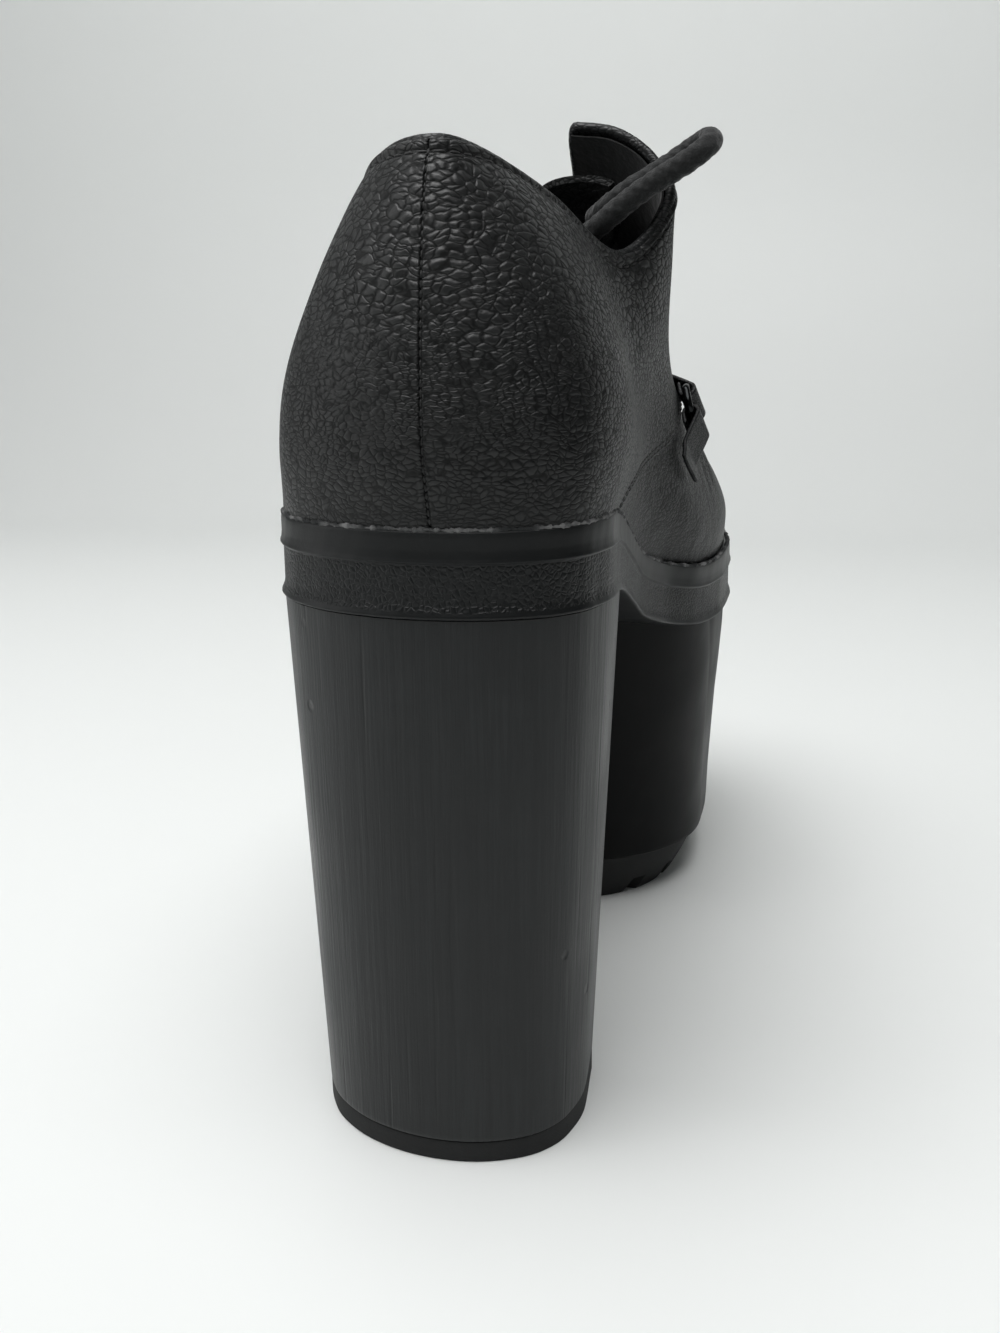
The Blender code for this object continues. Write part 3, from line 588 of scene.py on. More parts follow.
def shade_by_angle(piece: bpy.types.Object, crisp: float) -> None:
    """Shade a piece smooth up to an angle.

    Args:
        piece: The piece.
        crisp: Angle in degrees over which an edge stays sharp.
    """
    only(piece)
    bpy.ops.object.shade_smooth_by_angle(angle=math.radians(crisp))


def corner_places(piece: bpy.types.Object) -> Array:
    """Places of a piece's corners.

    Args:
        piece: The piece.

    Returns:
        One place for each corner of its mesh.
    """
    places = np.empty(len(piece.data.vertices) * 3)
    piece.data.vertices.foreach_get("co", places)
    return places.reshape(-1, 3)


def shaped_grid(name: str, columns: int, rows: int, shape: Shape,
                size: tuple[float, float] = (1.0, 1.0), weld: bool = False) -> bpy.types.Object:
    """Add a grid and give each of its corners a place.

    Args:
        name: Name of the piece.
        columns: Faces across.
        rows: Faces along.
        shape: Gives places from shares across and along.
        size: Size in metres that the piece's UV runs over.
        weld: Whether borders that meet are joined and faces turned outwards.

    Returns:
        The new piece.
    """
    bpy.ops.object.select_all(action="DESELECT")
    bpy.ops.mesh.primitive_grid_add(x_subdivisions=columns, y_subdivisions=rows, size=1.0,
                                    location=(0.0, 0.0, 0.0))
    piece = bpy.context.object
    piece.name = name
    mesh = piece.data
    mesh.name = name
    shares = np.round(np.clip(corner_places(piece)[:, :2] + 0.5, 0.0, 1.0), 6)
    mesh.vertices.foreach_set("co", shape(shares[:, 0], shares[:, 1]).ravel())
    layer = mesh.uv_layers[0]
    spots = np.empty(len(mesh.loops) * 2)
    layer.uv.foreach_get("vector", spots)
    spots = spots.reshape(-1, 2) * np.array(size)
    layer.uv.foreach_set("vector", spots.ravel())
    mesh.update()
    if weld:
        edit_mesh(piece, lambda: bpy.ops.mesh.remove_doubles(threshold=WELD_REACH))
        edit_mesh(piece, lambda: bpy.ops.mesh.normals_make_consistent(inside=False))
    bpy.ops.object.shade_smooth()
    return piece


def edit_mesh(piece: bpy.types.Object, action: Callable[[], object]) -> None:
    """Run one step on all of a piece's mesh in edit mode.

    Args:
        piece: The piece.
        action: The step.
    """
    only(piece)
    bpy.ops.object.mode_set(mode="EDIT")
    bpy.ops.mesh.select_all(action="SELECT")
    action()
    bpy.ops.object.mode_set(mode="OBJECT")


def modify(piece: bpy.types.Object, kind: str, **settings: object) -> None:
    """Add a modifier and apply it.

    Args:
        piece: The piece.
        kind: The modifier's type.
        settings: Its settings.
    """
    only(piece)
    step = piece.modifiers.new(kind.lower(), kind)
    for key, value in settings.items():
        setattr(step, key, value)
    bpy.ops.object.modifier_apply(modifier=step.name)


def thicken(piece: bpy.types.Object, wall: float) -> None:
    """Give a sheet a wall on its inner side, and shade it by angle.

    Args:
        piece: The sheet, whose faces look outwards.
        wall: The wall's thickness.
    """
    modify(piece, "SOLIDIFY", thickness=wall, offset=-1.0)
    shade_by_angle(piece, 50.0)


def by_rows(loop_at: Callable[[float, Array], Array]) -> Shape:
    """Shape of a grid whose rows are loops.

    Args:
        loop_at: Gives a row's points from its share along and the shares across.

    Returns:
        The grid's shape.
    """

    def shape(u: Array, v: Array) -> Array:
        """Place each row's corners on its loop.

        Args:
            u: Shares across.
            v: Shares along.

        Returns:
            The corners' places.
        """
        result = np.empty((len(u), 3))
        for row in np.unique(v):
            mask = v == row
            result[mask] = loop_at(float(row), u[mask])
        return result

    return shape


def carried_frames(path: Array, closed: bool) -> tuple[Array, Array]:
    """Two directions across a line, carried along it with no twist.

    Args:
        path: Points of the line.
        closed: Whether it ends where it starts.

    Returns:
        The first and second direction at each point.
    """
    if closed:
        tangents = np.roll(path, -1, axis=0) - np.roll(path, 1, axis=0)
    else:
        tangents = np.gradient(path, axis=0)
    tangents = tangents / np.linalg.norm(tangents, axis=1, keepdims=True)
    start = np.array((0.0, 0.0, 1.0)) if abs(tangents[0, 2]) < 0.9 else np.array((1.0, 0.0, 0.0))
    firsts = np.empty_like(path)
    current = start - tangents[0] * start.dot(tangents[0])
    for index, tangent in enumerate(tangents):
        current = current - tangent * current.dot(tangent)
        current = current / np.linalg.norm(current)
        firsts[index] = current
    return firsts, np.cross(tangents, firsts)


def spun(centre: Array, first: Array, second: Array,
         angle: Array, reach: Array) -> Array:
    """Points turned about a centre.

    Args:
        centre: The centre, or one for each point.
        first: Direction at angle 0.
        second: Direction at a quarter turn.
        angle: The points' angles.
        reach: Their distances from the centre.

    Returns:
        The points.
    """
    return centre + first * (np.cos(angle) * reach)[:, None] + second * (np.sin(angle) * reach)[:, None]


def tube(name: str, path: Array, radius: Callable[[Array, Array], Array],
         columns: int, closed: bool = False) -> bpy.types.Object:
    """Round cord, bar or bead along a line.

    Args:
        name: Name of the piece.
        path: Points of its centre line, one for each row.
        radius: Gives the radius from the angle and the distance along.
        columns: Faces round it.
        closed: Whether the line ends where it starts.

    Returns:
        The piece, its UV running round and along in metres.
    """
    first, second = carried_frames(path, closed)
    if closed:
        path, first, second = (np.vstack((table, table[:1])) for table in (path, first, second))
    distance = running_length(path)
    rows = len(path) - 1

    def shape(u: Array, v: Array) -> Array:
        """Place the corners round the line.

        Args:
            u: Shares round it.
            v: Shares along it.

        Returns:
            The corners' places.
        """
        index = np.rint(v * rows).astype(int)
        angle = 2.0 * math.pi * np.where(u >= 1.0, 0.0, u)
        reach = radius(angle, distance[index])
        if not closed:
            reach = np.where((index == 0) | (index == rows), 0.0, reach)
        return spun(path[index], first[index], second[index], angle, reach)

    girth = 2.0 * math.pi * float(np.mean(radius(np.zeros(1), np.zeros(1))))
    return shaped_grid(name, columns, rows, shape, (girth, float(distance[-1])), weld=True)


@dataclass(frozen=True)
class StitchRow:
    """A row of sewn stitches."""

    pitch: float = 2.9 * MM
    length: float = 2.3 * MM
    radius: float = 0.26 * MM
    steps: int = 9

    def sew(self, name: str, path: Array, normals: Array) -> bpy.types.Object:
        """Sew the row along a line on a surface.

        Args:
            name: Name of the piece.
            path: Points of the line on the surface.
            normals: Outward direction at each point.

        Returns:
            The row of stitches as one piece.
        """
        knots = running_length(path)
        count = max(int(knots[-1] / self.pitch), 2)
        places = np.linspace(0.0, count * self.pitch, count * self.steps + 1)
        places = places * (knots[-1] / places[-1])
        line, out = (np.stack(read_columns(places, knots, table), axis=1) for table in (path, normals))
        phase = (np.arange(len(places)) % self.steps) / self.steps
        share = np.clip(phase * self.pitch / self.length, 0.0, 1.0)
        swell = np.sqrt(np.clip(1.0 - (2.0 * share - 1.0) ** 2, 0.0, 1.0))
        line = line + out * ((swell - 0.75) * self.radius)[:, None]
        along = running_length(line)
        return tube(name, line, lambda angle, distance:
                    self.radius * (0.10 + 0.90 * np.interp(distance, along, swell)) + 0.0 * angle, 6)


# Materials
class Graph:
    """Short way to write a node tree."""

    def __init__(self, tree: bpy.types.NodeTree) -> None:
        """Take over a tree.

        Args:
            tree: The tree that nodes are added to.
        """
        self.tree = tree

    def add(self, kind: str, inputs: dict | None = None, **settings: object) -> bpy.types.Node:
        """Add a node, set it and link it.

        Args:
            kind: The node's type name.
            inputs: Values or output sockets for its input sockets.
            settings: The node's own settings.

        Returns:
            The node.
        """
        node = self.tree.nodes.new(kind)
        for key, value in settings.items():
            setattr(node, key, value)
        self.feed(node, inputs or {})
        return node

    def feed(self, node: bpy.types.Node, inputs: dict) -> None:
        """Link or set a node's inputs.

        Args:
            node: The node.
            inputs: Output sockets or values for its input sockets.
        """
        for key, value in inputs.items():
            if isinstance(value, Socket):
                self.tree.links.new(value, node.inputs[key])
            else:
                node.inputs[key].default_value = value

    def noise(self, place: Socket, scale: float, detail: float,
              **more: float) -> Socket:
        """Add a noise.

        Args:
            place: Where it is read.
            scale: Its scale.
            detail: Its detail.
            more: Its other inputs.

        Returns:
            The noise's socket.
        """
        inputs = {"Vector": place, "Scale": scale, "Detail": detail, **more}
        return self.add("ShaderNodeTexNoise", inputs).outputs["Fac"]

    def cells(self, place: Socket, scale: object, feature: str,
              **more: float) -> Socket:
        """Add a pattern of cells.

        Args:
            place: Where it is read.
            scale: Its scale, or the scale's socket.
            feature: What is measured.
            more: Its other inputs.

        Returns:
            The distance's socket.
        """
        inputs = {"Vector": place, "Scale": scale, **more}
        return self.add("ShaderNodeTexVoronoi", inputs, feature=feature).outputs["Distance"]

    def few(self, place: Socket, scale: float, size: tuple[float, float], channel: int,
            pick: tuple[float, float], most: float) -> Socket:
        """Add small spots in a few of the cells.

        Args:
            place: Where they are read.
            scale: Scale of the cells.
            size: Where a spot starts to fade and where it ends, as distances in its cell.
            channel: Which random value picks the cells.
            pick: Where that value starts to pick a cell and where it picks it fully.
            most: Strength of a spot.

        Returns:
            The spots' socket.
        """
        cell = self.add("ShaderNodeTexVoronoi", {"Vector": place, "Scale": scale})
        chosen = self.add("ShaderNodeSeparateColor", {"Color": cell.outputs["Color"]}).outputs[channel]
        return self.times(self.range(cell.outputs["Distance"], *size, 1.0, 0.0),
                         self.range(chosen, *pick, 0.0, most))

    def bump(self, height: object, strength: float, distance: float) -> Socket:
        """Add a bump.

        Args:
            height: Socket of the height.
            strength: Its strength.
            distance: Its height in metres.

        Returns:
            The socket of the bumped directions.
        """
        inputs = {"Height": height, "Strength": strength, "Distance": distance}
        return self.add("ShaderNodeBump", inputs).outputs["Normal"]

    def math(self, operation: str, *values: object) -> Socket:
        """Add a math node.

        Args:
            operation: The math node's operation.
            values: Numbers or sockets.

        Returns:
            The result's socket.
        """
        return self.add("ShaderNodeMath", dict(enumerate(values)), operation=operation).outputs[0]

    def vector(self, operation: str, inputs: dict) -> Socket:
        """Add a vector math node.

        Args:
            operation: The node's operation.
            inputs: Its inputs.

        Returns:
            The result's socket.
        """
        return self.add("ShaderNodeVectorMath", inputs, operation=operation).outputs[0]

    def plus(self, first: object, second: object) -> Socket:
        """Add two values.

        Args:
            first: Number or socket.
            second: Number or socket.

        Returns:
            The result's socket.
        """
        return self.math("ADD", first, second)

    def times(self, first: object, second: object) -> Socket:
        """Multiply two values.

        Args:
            first: Number or socket.
            second: Number or socket.

        Returns:
            The result's socket.
        """
        return self.math("MULTIPLY", first, second)

    def range(self, value: object, low: float, high: float,
              to_low: float = 0.0, to_high: float = 1.0) -> Socket:
        """Map a value from one range to another, held at both ends.

        Args:
            value: The socket read.
            low: Start of its range.
            high: End of its range.
            to_low: Result at the start.
            to_high: Result at the end.

        Returns:
            The result's socket.
        """
        inputs = {"Value": value, "From Min": low, "From Max": high, "To Min": to_low, "To Max": to_high}
        node = self.add("ShaderNodeMapRange", inputs, interpolation_type="SMOOTHSTEP")
        return node.outputs["Result"]

    def mix(self, share: object, first: object, second: object) -> Socket:
        """Mix two colours.

        Args:
            share: Share of the second colour.
            first: First colour or its socket.
            second: Second colour or its socket.

        Returns:
            The mixed colour's socket.
        """
        return self.add("ShaderNodeMix", {"Factor": share, 6: first, 7: second}, data_type="RGBA").outputs[2]


def grey(value: float, cool: float = 0.10) -> tuple[float, float, float, float]:
    """Near-neutral colour.

    Args:
        value: Its brightness.
        cool: How much bluer than red it is, as a share.

    Returns:
        Red, green, blue and alpha.
    """
    return (value * (1.0 - cool), value, value * (1.0 + 0.4 * cool), 1.0)


def new_group(name: str, inputs: tuple, outputs: tuple) -> tuple[bpy.types.NodeTree, Graph, object, object]:
    """Start a node group with its sockets.

    Args:
        name: Name of the group.
        inputs: Name, socket type and default of each input.
        outputs: Name and socket type of each output.

    Returns:
        The tree, its graph, its input node and its output node.
    """
    tree = bpy.data.node_groups.new(name, "ShaderNodeTree")
    for title, kind, default in inputs:
        socket = tree.interface.new_socket(title, in_out="INPUT", socket_type=kind)
        if default is not None:
            socket.default_value = default
    for title, kind in outputs:
        tree.interface.new_socket(title, in_out="OUTPUT", socket_type=kind)
    graph = Graph(tree)
    return tree, graph, graph.add("NodeGroupInput"), graph.add("NodeGroupOutput")


@dataclass
class SharedEffects:
    """Node groups that several finishes use."""

    pebble: bpy.types.NodeTree = field(init=False)
    dust: bpy.types.NodeTree = field(init=False)
    weave: bpy.types.NodeTree = field(init=False)

    def __post_init__(self) -> None:
        """Build the groups."""
        self.pebble = self.build_pebble()
        self.dust = self.build_dust()
        self.weave = self.build_weave()

    def build_pebble(self) -> bpy.types.NodeTree:
        """Pebbled grain of pressed leather.

        Returns:
            A group that gives the grain's height, its furrows and its coarser patches.
        """
        tree, graph, source, sink = new_group(
            "pebbled grain",
            (("Place", "NodeSocketVector", None), ("Scale", "NodeSocketFloat", 1.0)),
            (("Height", "NodeSocketFloat"), ("Furrow", "NodeSocketFloat"), ("Patch", "NodeSocketFloat")))
        place = source.outputs["Place"]
        moved = place
        for size, reach in ((150.0, 3.0 * MM), (520.0, MM)):
            wander = graph.add("ShaderNodeTexNoise", {"Vector": place, "Scale": size, "Detail": 1.0})
            shift = graph.vector("SUBTRACT", {0: wander.outputs["Color"], 1: (0.5, 0.5, 0.5)})
            shift = graph.vector("SCALE", {0: shift, "Scale": reach})
            moved = graph.vector("ADD", {0: moved, 1: shift})
        flat = graph.add("ShaderNodeMapping", {"Vector": moved, "Scale": (0.74, 0.74, 1.40)}).outputs[0]
        height = graph.add("ShaderNodeSeparateXYZ", {"Vector": place}).outputs[2]
        patch = graph.plus(graph.range(graph.noise(place, 46.0, 2.0), 0.38, 0.62, -0.22, 0.22),
                           graph.range(height, 0.13, 0.18, 0.1, 0.9))
        patch = graph.range(patch, 0.2, 0.8)
        layers, furrows = [], []
        for size in (800.0, 560.0):
            scale = graph.times(source.outputs["Scale"], size)
            dome = graph.cells(flat, scale, "SMOOTH_F1", Smoothness=0.32)
            edge = graph.range(graph.cells(flat, scale, "DISTANCE_TO_EDGE"), 0.0, 0.26)
            edge = graph.math("SINE", graph.times(edge, math.pi / 2.0))
            dome = graph.range(graph.times(dome, dome), 0.0, 0.55, 1.0, 0.0)
            layers.append(graph.plus(graph.times(edge, 0.34), graph.times(dome, 0.66)))
            furrows.append(edge)
        wide = graph.add("ShaderNodeMix", {0: patch, 2: furrows[0], 3: furrows[1]}).outputs[0]
        coarse = graph.times(layers[1], 1.35)
        body = graph.add("ShaderNodeMix", {0: patch, 2: layers[0], 3: coarse}).outputs[0]
        fade = graph.range(height, 0.098, 0.165, 0.30, 1.0)
        body = graph.times(body, fade)
        furrow = graph.times(graph.math("SUBTRACT", 1.0, wide), fade)
        height = graph.plus(body, graph.times(graph.noise(flat, 130.0, 2.0), 2.6))
        height = graph.plus(height, graph.times(graph.noise(flat, 3200.0, 3.0), 0.16))
        graph.feed(sink, {"Height": height, "Furrow": furrow, "Patch": patch})
        return tree

    def build_dust(self) -> bpy.types.NodeTree:
        """Thin dust and specks, spread by noise alone.

        Returns:
            A group that gives a mask of the dust.
        """
        tree, graph, source, sink = new_group(
            "light dust",
            (("Place", "NodeSocketVector", None), ("Amount", "NodeSocketFloat", 0.2)),
            (("Mask", "NodeSocketFloat"),))
        place = source.outputs["Place"]
        haze = graph.range(graph.noise(place, 120.0, 5.0), 0.45, 0.80, 0.0, 0.35)
        mask = graph.plus(haze, graph.few(place, 260.0, (0.03, 0.07), 0, (0.955, 0.965), 1.0))
        graph.feed(sink, {"Mask": graph.times(mask, source.outputs["Amount"])})
        return tree

    def build_weave(self) -> bpy.types.NodeTree:
        """Plain weave of threads from a UV in metres.

        Returns:
            A group that gives the weave's height.
        """
        tree, graph, source, sink = new_group(
            "plain weave",
            (("Place", "NodeSocketVector", None), ("Threads", "NodeSocketFloat", 1200.0)),
            (("Height", "NodeSocketFloat"),))
        place = graph.add("ShaderNodeSeparateXYZ", {"Vector": source.outputs["Place"]})
        waves = []
        for axis in (0, 1):
            turn = graph.times(place.outputs[axis], source.outputs["Threads"])
            waves.append(graph.math("SINE", graph.times(turn, math.tau)))
        crossing = graph.times(waves[0], waves[1])
        graph.feed(sink, {"Height": graph.range(crossing, -1.0, 1.0)})
        return tree


def start_material(name: str) -> tuple[bpy.types.Material, Graph, bpy.types.Node, Socket]:
    """Start a material that reads Object coordinates.

    Args:
        name: Name of the material.

    Returns:
        The material, its graph, its shader and the coordinates' socket.
    """
    material = bpy.data.materials.new(name)
    material.use_nodes = True
    graph = Graph(material.node_tree)
    shader = material.node_tree.nodes["Principled BSDF"]
    place = graph.add("ShaderNodeTexCoord").outputs["Object"]
    return material, graph, shader, place


def link(graph: Graph, shader: bpy.types.Node, **sockets: object) -> None:
    """Link or set a shader's inputs by name.

    Args:
        graph: The material's graph.
        shader: The shader.
        sockets: Sockets or values, named with underscores for spaces.
    """
    graph.feed(shader, {key.replace("_", " "): value for key, value in sockets.items()})


@dataclass(frozen=True)
class LeatherFinish:
    """Black leather with a pressed pebble grain, painted shade darkening its furrows, and reflections dimmed
    low down and on the inner side as painted shade.
    """

    name: str = "pebbled leather"
    shade: float = 0.0042
    rough: float = 0.40
    grain: float = 1.0
    scale: float = 1.0
    depth: float = 0.25 * MM

    def build(self, effects: SharedEffects) -> bpy.types.Material:
        """Build the material.

        Args:
            effects: The shared node groups.

        Returns:
            The material.
        """
        material, graph, shader, place = start_material(self.name)
        pebble = graph.add("ShaderNodeGroup", {"Place": place, "Scale": self.scale}, node_tree=effects.pebble)
        dust = graph.add("ShaderNodeGroup", {"Place": place, "Amount": 0.06}, node_tree=effects.dust)
        # Painted shade: the furrows' colour is darkened to half the leather's shade.
        tone = graph.mix(pebble.outputs["Furrow"], grey(self.shade), grey(self.shade * 0.5))
        tone = graph.mix(dust.outputs["Mask"], tone, grey(0.16, -0.02))
        worn = graph.plus(graph.times(pebble.outputs["Furrow"], 0.16), self.rough)
        worn = graph.plus(worn, graph.times(pebble.outputs["Patch"], 0.05))
        bump = graph.bump(pebble.outputs["Height"], self.grain, self.depth)
        spots = graph.add("ShaderNodeSeparateXYZ", {"Vector": place})
        # Painted shade: the specular level drops in the furrows, towards the bottom and on the inner side,
        # darkening the reflections where shade falls.
        gloss = graph.range(pebble.outputs["Furrow"], 0.0, 1.0, 1.0, 0.45)
        lower = graph.range(spots.outputs[2], 0.11, 0.185, 0.30, 0.56)
        inner = graph.range(spots.outputs[0], 0.012, 0.040, 1.0, 0.55)
        gloss = graph.times(gloss, graph.times(lower, inner))
        link(graph, shader, Base_Color=tone, Roughness=worn, Normal=bump, Specular_IOR_Level=gloss)
        return material


@dataclass(frozen=True)
class MouldedFinish:
    """Moulded sole or heel surface with fine texture and faint wear."""

    name: str = "moulded sole"
    shade: float = 0.016
    rough: float = 0.45
    upright: float = 0.0
    band: bool = False
    specks: float = 0.05
    nicks: float = 0.0
    gloss: float = 0.24

    def build(self, effects: SharedEffects) -> bpy.types.Material:
        """Build the material.

        Args:
            effects: The shared node groups.

        Returns:
            The material.
        """
        material, graph, shader, place = start_material(self.name)
        height = graph.times(graph.noise(place, 1500.0, 3.0), 0.20)
        broad = graph.noise(place, 38.0, 4.0)
        streak = 1.0
        if self.upright > 0.0:
            drawn = graph.add("ShaderNodeMapping", {"Vector": place, "Scale": (1.0, 1.0, 0.035)}).outputs[0]
            lines = graph.noise(drawn, 900.0, 4.0, Roughness=0.62)
            cut = graph.range(graph.noise(drawn, 330.0, 2.0), 0.60, 0.72, 0.0, -0.7 * self.upright)
            height = graph.plus(height, graph.times(lines, self.upright))
            height = graph.plus(height, cut)
            streak = graph.range(lines, 0.40, 0.66, 0.75, 1.4)
        if self.band:
            zone = graph.add("ShaderNodeAttribute", attribute_name="band_zone").outputs["Fac"]
            pores = graph.range(graph.cells(place, 950.0, "DISTANCE_TO_EDGE"), 0.0, 0.25)
            height = graph.plus(height, graph.times(pores, zone))
        dust = graph.add("ShaderNodeGroup", {"Place": place, "Amount": self.specks}, node_tree=effects.dust)
        amount = graph.times(graph.range(broad, 0.35, 0.75, 0.15, 0.45), streak)
        tone = graph.mix(amount, grey(self.shade * 0.7), grey(self.shade * 2.4))
        nick = graph.few(place, 95.0, (0.05, 0.14), 1, (0.93, 0.95), self.nicks)
        height = graph.math("SUBTRACT", height, graph.times(nick, 3.0))
        pale = graph.plus(dust.outputs["Mask"], graph.times(nick, 0.3))
        tone = graph.mix(pale, tone, grey(0.10, 0.0))
        worn = graph.range(broad, 0.3, 0.7, self.rough - 0.04, self.rough + 0.07)
        bump = graph.bump(height, 0.7, 0.20 * MM)
        link(graph, shader, Base_Color=tone, Roughness=worn, Normal=bump, Specular_IOR_Level=self.gloss)
        return material


@dataclass(frozen=True)
class PlainFinish:
    """Even finish for metal, thread, lining and rubber."""

    name: str
    shade: float
    rough: float
    metallic: float = 0.0
    sheen: float = 0.0
    bump: float = 0.0
    bump_scale: float = 2500.0

    def build(self, effects: SharedEffects) -> bpy.types.Material:
        """Build the material.

        Args:
            effects: The shared node groups, whose dust this finish uses.

        Returns:
            The material.
        """
        material, graph, shader, place = start_material(self.name)
        dust = graph.add("ShaderNodeGroup", {"Place": place, "Amount": 0.10}, node_tree=effects.dust)
        tone = graph.mix(dust.outputs["Mask"], grey(self.shade), grey(0.14, -0.02))
        link(graph, shader, Base_Color=tone, Roughness=self.rough, Metallic=self.metallic,
             Sheen_Weight=self.sheen)
        if self.bump > 0.0:
            grain = graph.noise(place, self.bump_scale, 3.0)
            link(graph, shader, Normal=graph.bump(grain, self.bump, 0.3 * MM))
        return material


@dataclass(frozen=True)
class WovenFinish:
    """Woven thread, read from the piece's own UV in metres."""

    name: str
    shade: float
    threads: float
    sheen: float = 0.35

    def build(self, effects: SharedEffects) -> bpy.types.Material:
        """Build the material.

        Args:
            effects: The shared node groups.

        Returns:
            The material.
        """
        material, graph, shader, place = start_material(self.name)
        sheet = graph.add("ShaderNodeTexCoord").outputs["UV"]
        inputs = {"Place": sheet, "Threads": self.threads}
        weave = graph.add("ShaderNodeGroup", inputs, node_tree=effects.weave)
        fuzz = graph.noise(place, 2400.0, 4.0)
        height = graph.plus(graph.times(weave.outputs["Height"], 0.5), fuzz)
        tone = graph.mix(graph.range(fuzz, 0.35, 0.75), grey(self.shade * 0.6), grey(self.shade * 1.9))
        link(graph, shader, Base_Color=tone, Roughness=0.88, Normal=graph.bump(height, 0.8, 0.25 * MM),
             Sheen_Weight=self.sheen, Sheen_Roughness=0.45)
        return material


@dataclass(frozen=True)
class GlueFinish:
    """Dry grey cement and dust squeezed out along the rim."""

    name: str = "dry cement"

    def build(self, effects: SharedEffects) -> bpy.types.Material:
        """Build the material.

        Args:
            effects: The shared node groups, whose dust this finish uses.

        Returns:
            The material.
        """
        material, graph, shader, place = start_material(self.name)
        dust = graph.add("ShaderNodeGroup", {"Place": place, "Amount": 0.8}, node_tree=effects.dust)
        patch = graph.range(graph.noise(place, 260.0, 5.0), 0.44, 0.66)
        tone = graph.mix(patch, grey(0.014), grey(0.17, 0.0))
        tone = graph.mix(dust.outputs["Mask"], tone, grey(0.28, 0.0))
        bump = graph.bump(graph.noise(place, 1900.0, 3.0), 0.9, 0.3 * MM)
        link(graph, shader, Base_Color=tone, Roughness=0.85, Normal=bump)
        return material


class Finish(Enum):
    """Every finish of the shoe, with the record's slot that it belongs to."""

    LEATHER = ("upper_leather", LeatherFinish())
    SMOOTH_EDGE = ("upper_leather", LeatherFinish("folded edge", 0.008, 0.36, 0.5, 1.5, 0.14 * MM))
    TONGUE = ("tongue_leather", LeatherFinish("tongue leather", 0.007, 0.42, 0.6, 1.3, 0.18 * MM))
    LINING = ("upper_leather", PlainFinish("soft lining", 0.004, 0.95, 0.0, 0.22, 1.0, 700.0))
    SOCK = ("insole", PlainFinish("sock", 0.008, 0.75, 0.0, 0.1, 0.3, 900.0))
    SOLE = ("sole", MouldedFinish("moulded sole", 0.007, 0.40, 0.0, True))
    # Painted shade: the platform gets a darker, less glossy copy of the moulded sole's finish, standing for
    # the shade that falls on it.
    PLATFORM = ("sole", MouldedFinish("platform in painted shade", 0.003, 0.46, gloss=0.10))
    HEEL = ("heel", MouldedFinish("grained heel", 0.011, 0.40, 1.3, False, 0.05, 1.0, 0.32))
    RUBBER = ("rubber", PlainFinish("matt rubber", 0.004, 0.80, 0.0, 0.0, 0.25, 1600.0))
    METAL = ("black_metal", PlainFinish("gloss black metal", 0.012, 0.16, 0.85))
    LACE = ("lace", WovenFinish("woven lace", 0.006, 420.0, 0.22))
    THREAD = ("upper_leather", PlainFinish("thread", 0.0035, 0.62, 0.0, 0.1, 0.3, 4000.0))
    GLUE = ("sole", GlueFinish())


@dataclass
class Workshop:
    """Gives the pieces their finishes."""

    effects: SharedEffects = field(default_factory=SharedEffects)
    made: dict[str, bpy.types.Material] = field(default_factory=dict)

    def finish(self, piece: bpy.types.Object, finish: Finish,
               nodes: tuple[str, ...] = ()) -> bpy.types.Object:
        """Give a piece its finish and let it ride on the shoe.

        Args:
            piece: The piece.
            finish: Its finish.
            nodes: CAD nodes that it stands for.

        Returns:
            The piece.
        """
        slot, recipe = finish.value
        if finish.name not in self.made:
            self.made[finish.name] = recipe.build(self.effects)
        piece.data.materials.clear()
        piece.data.materials.append(self.made[finish.name])
        if nodes:
            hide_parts(*nodes)
        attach(piece, "root")
        piece.data.calc_loop_triangles()
        LOG.info("%s: %d triangles, %s", piece.name, len(piece.data.loop_triangles), recipe.name)
        return piece


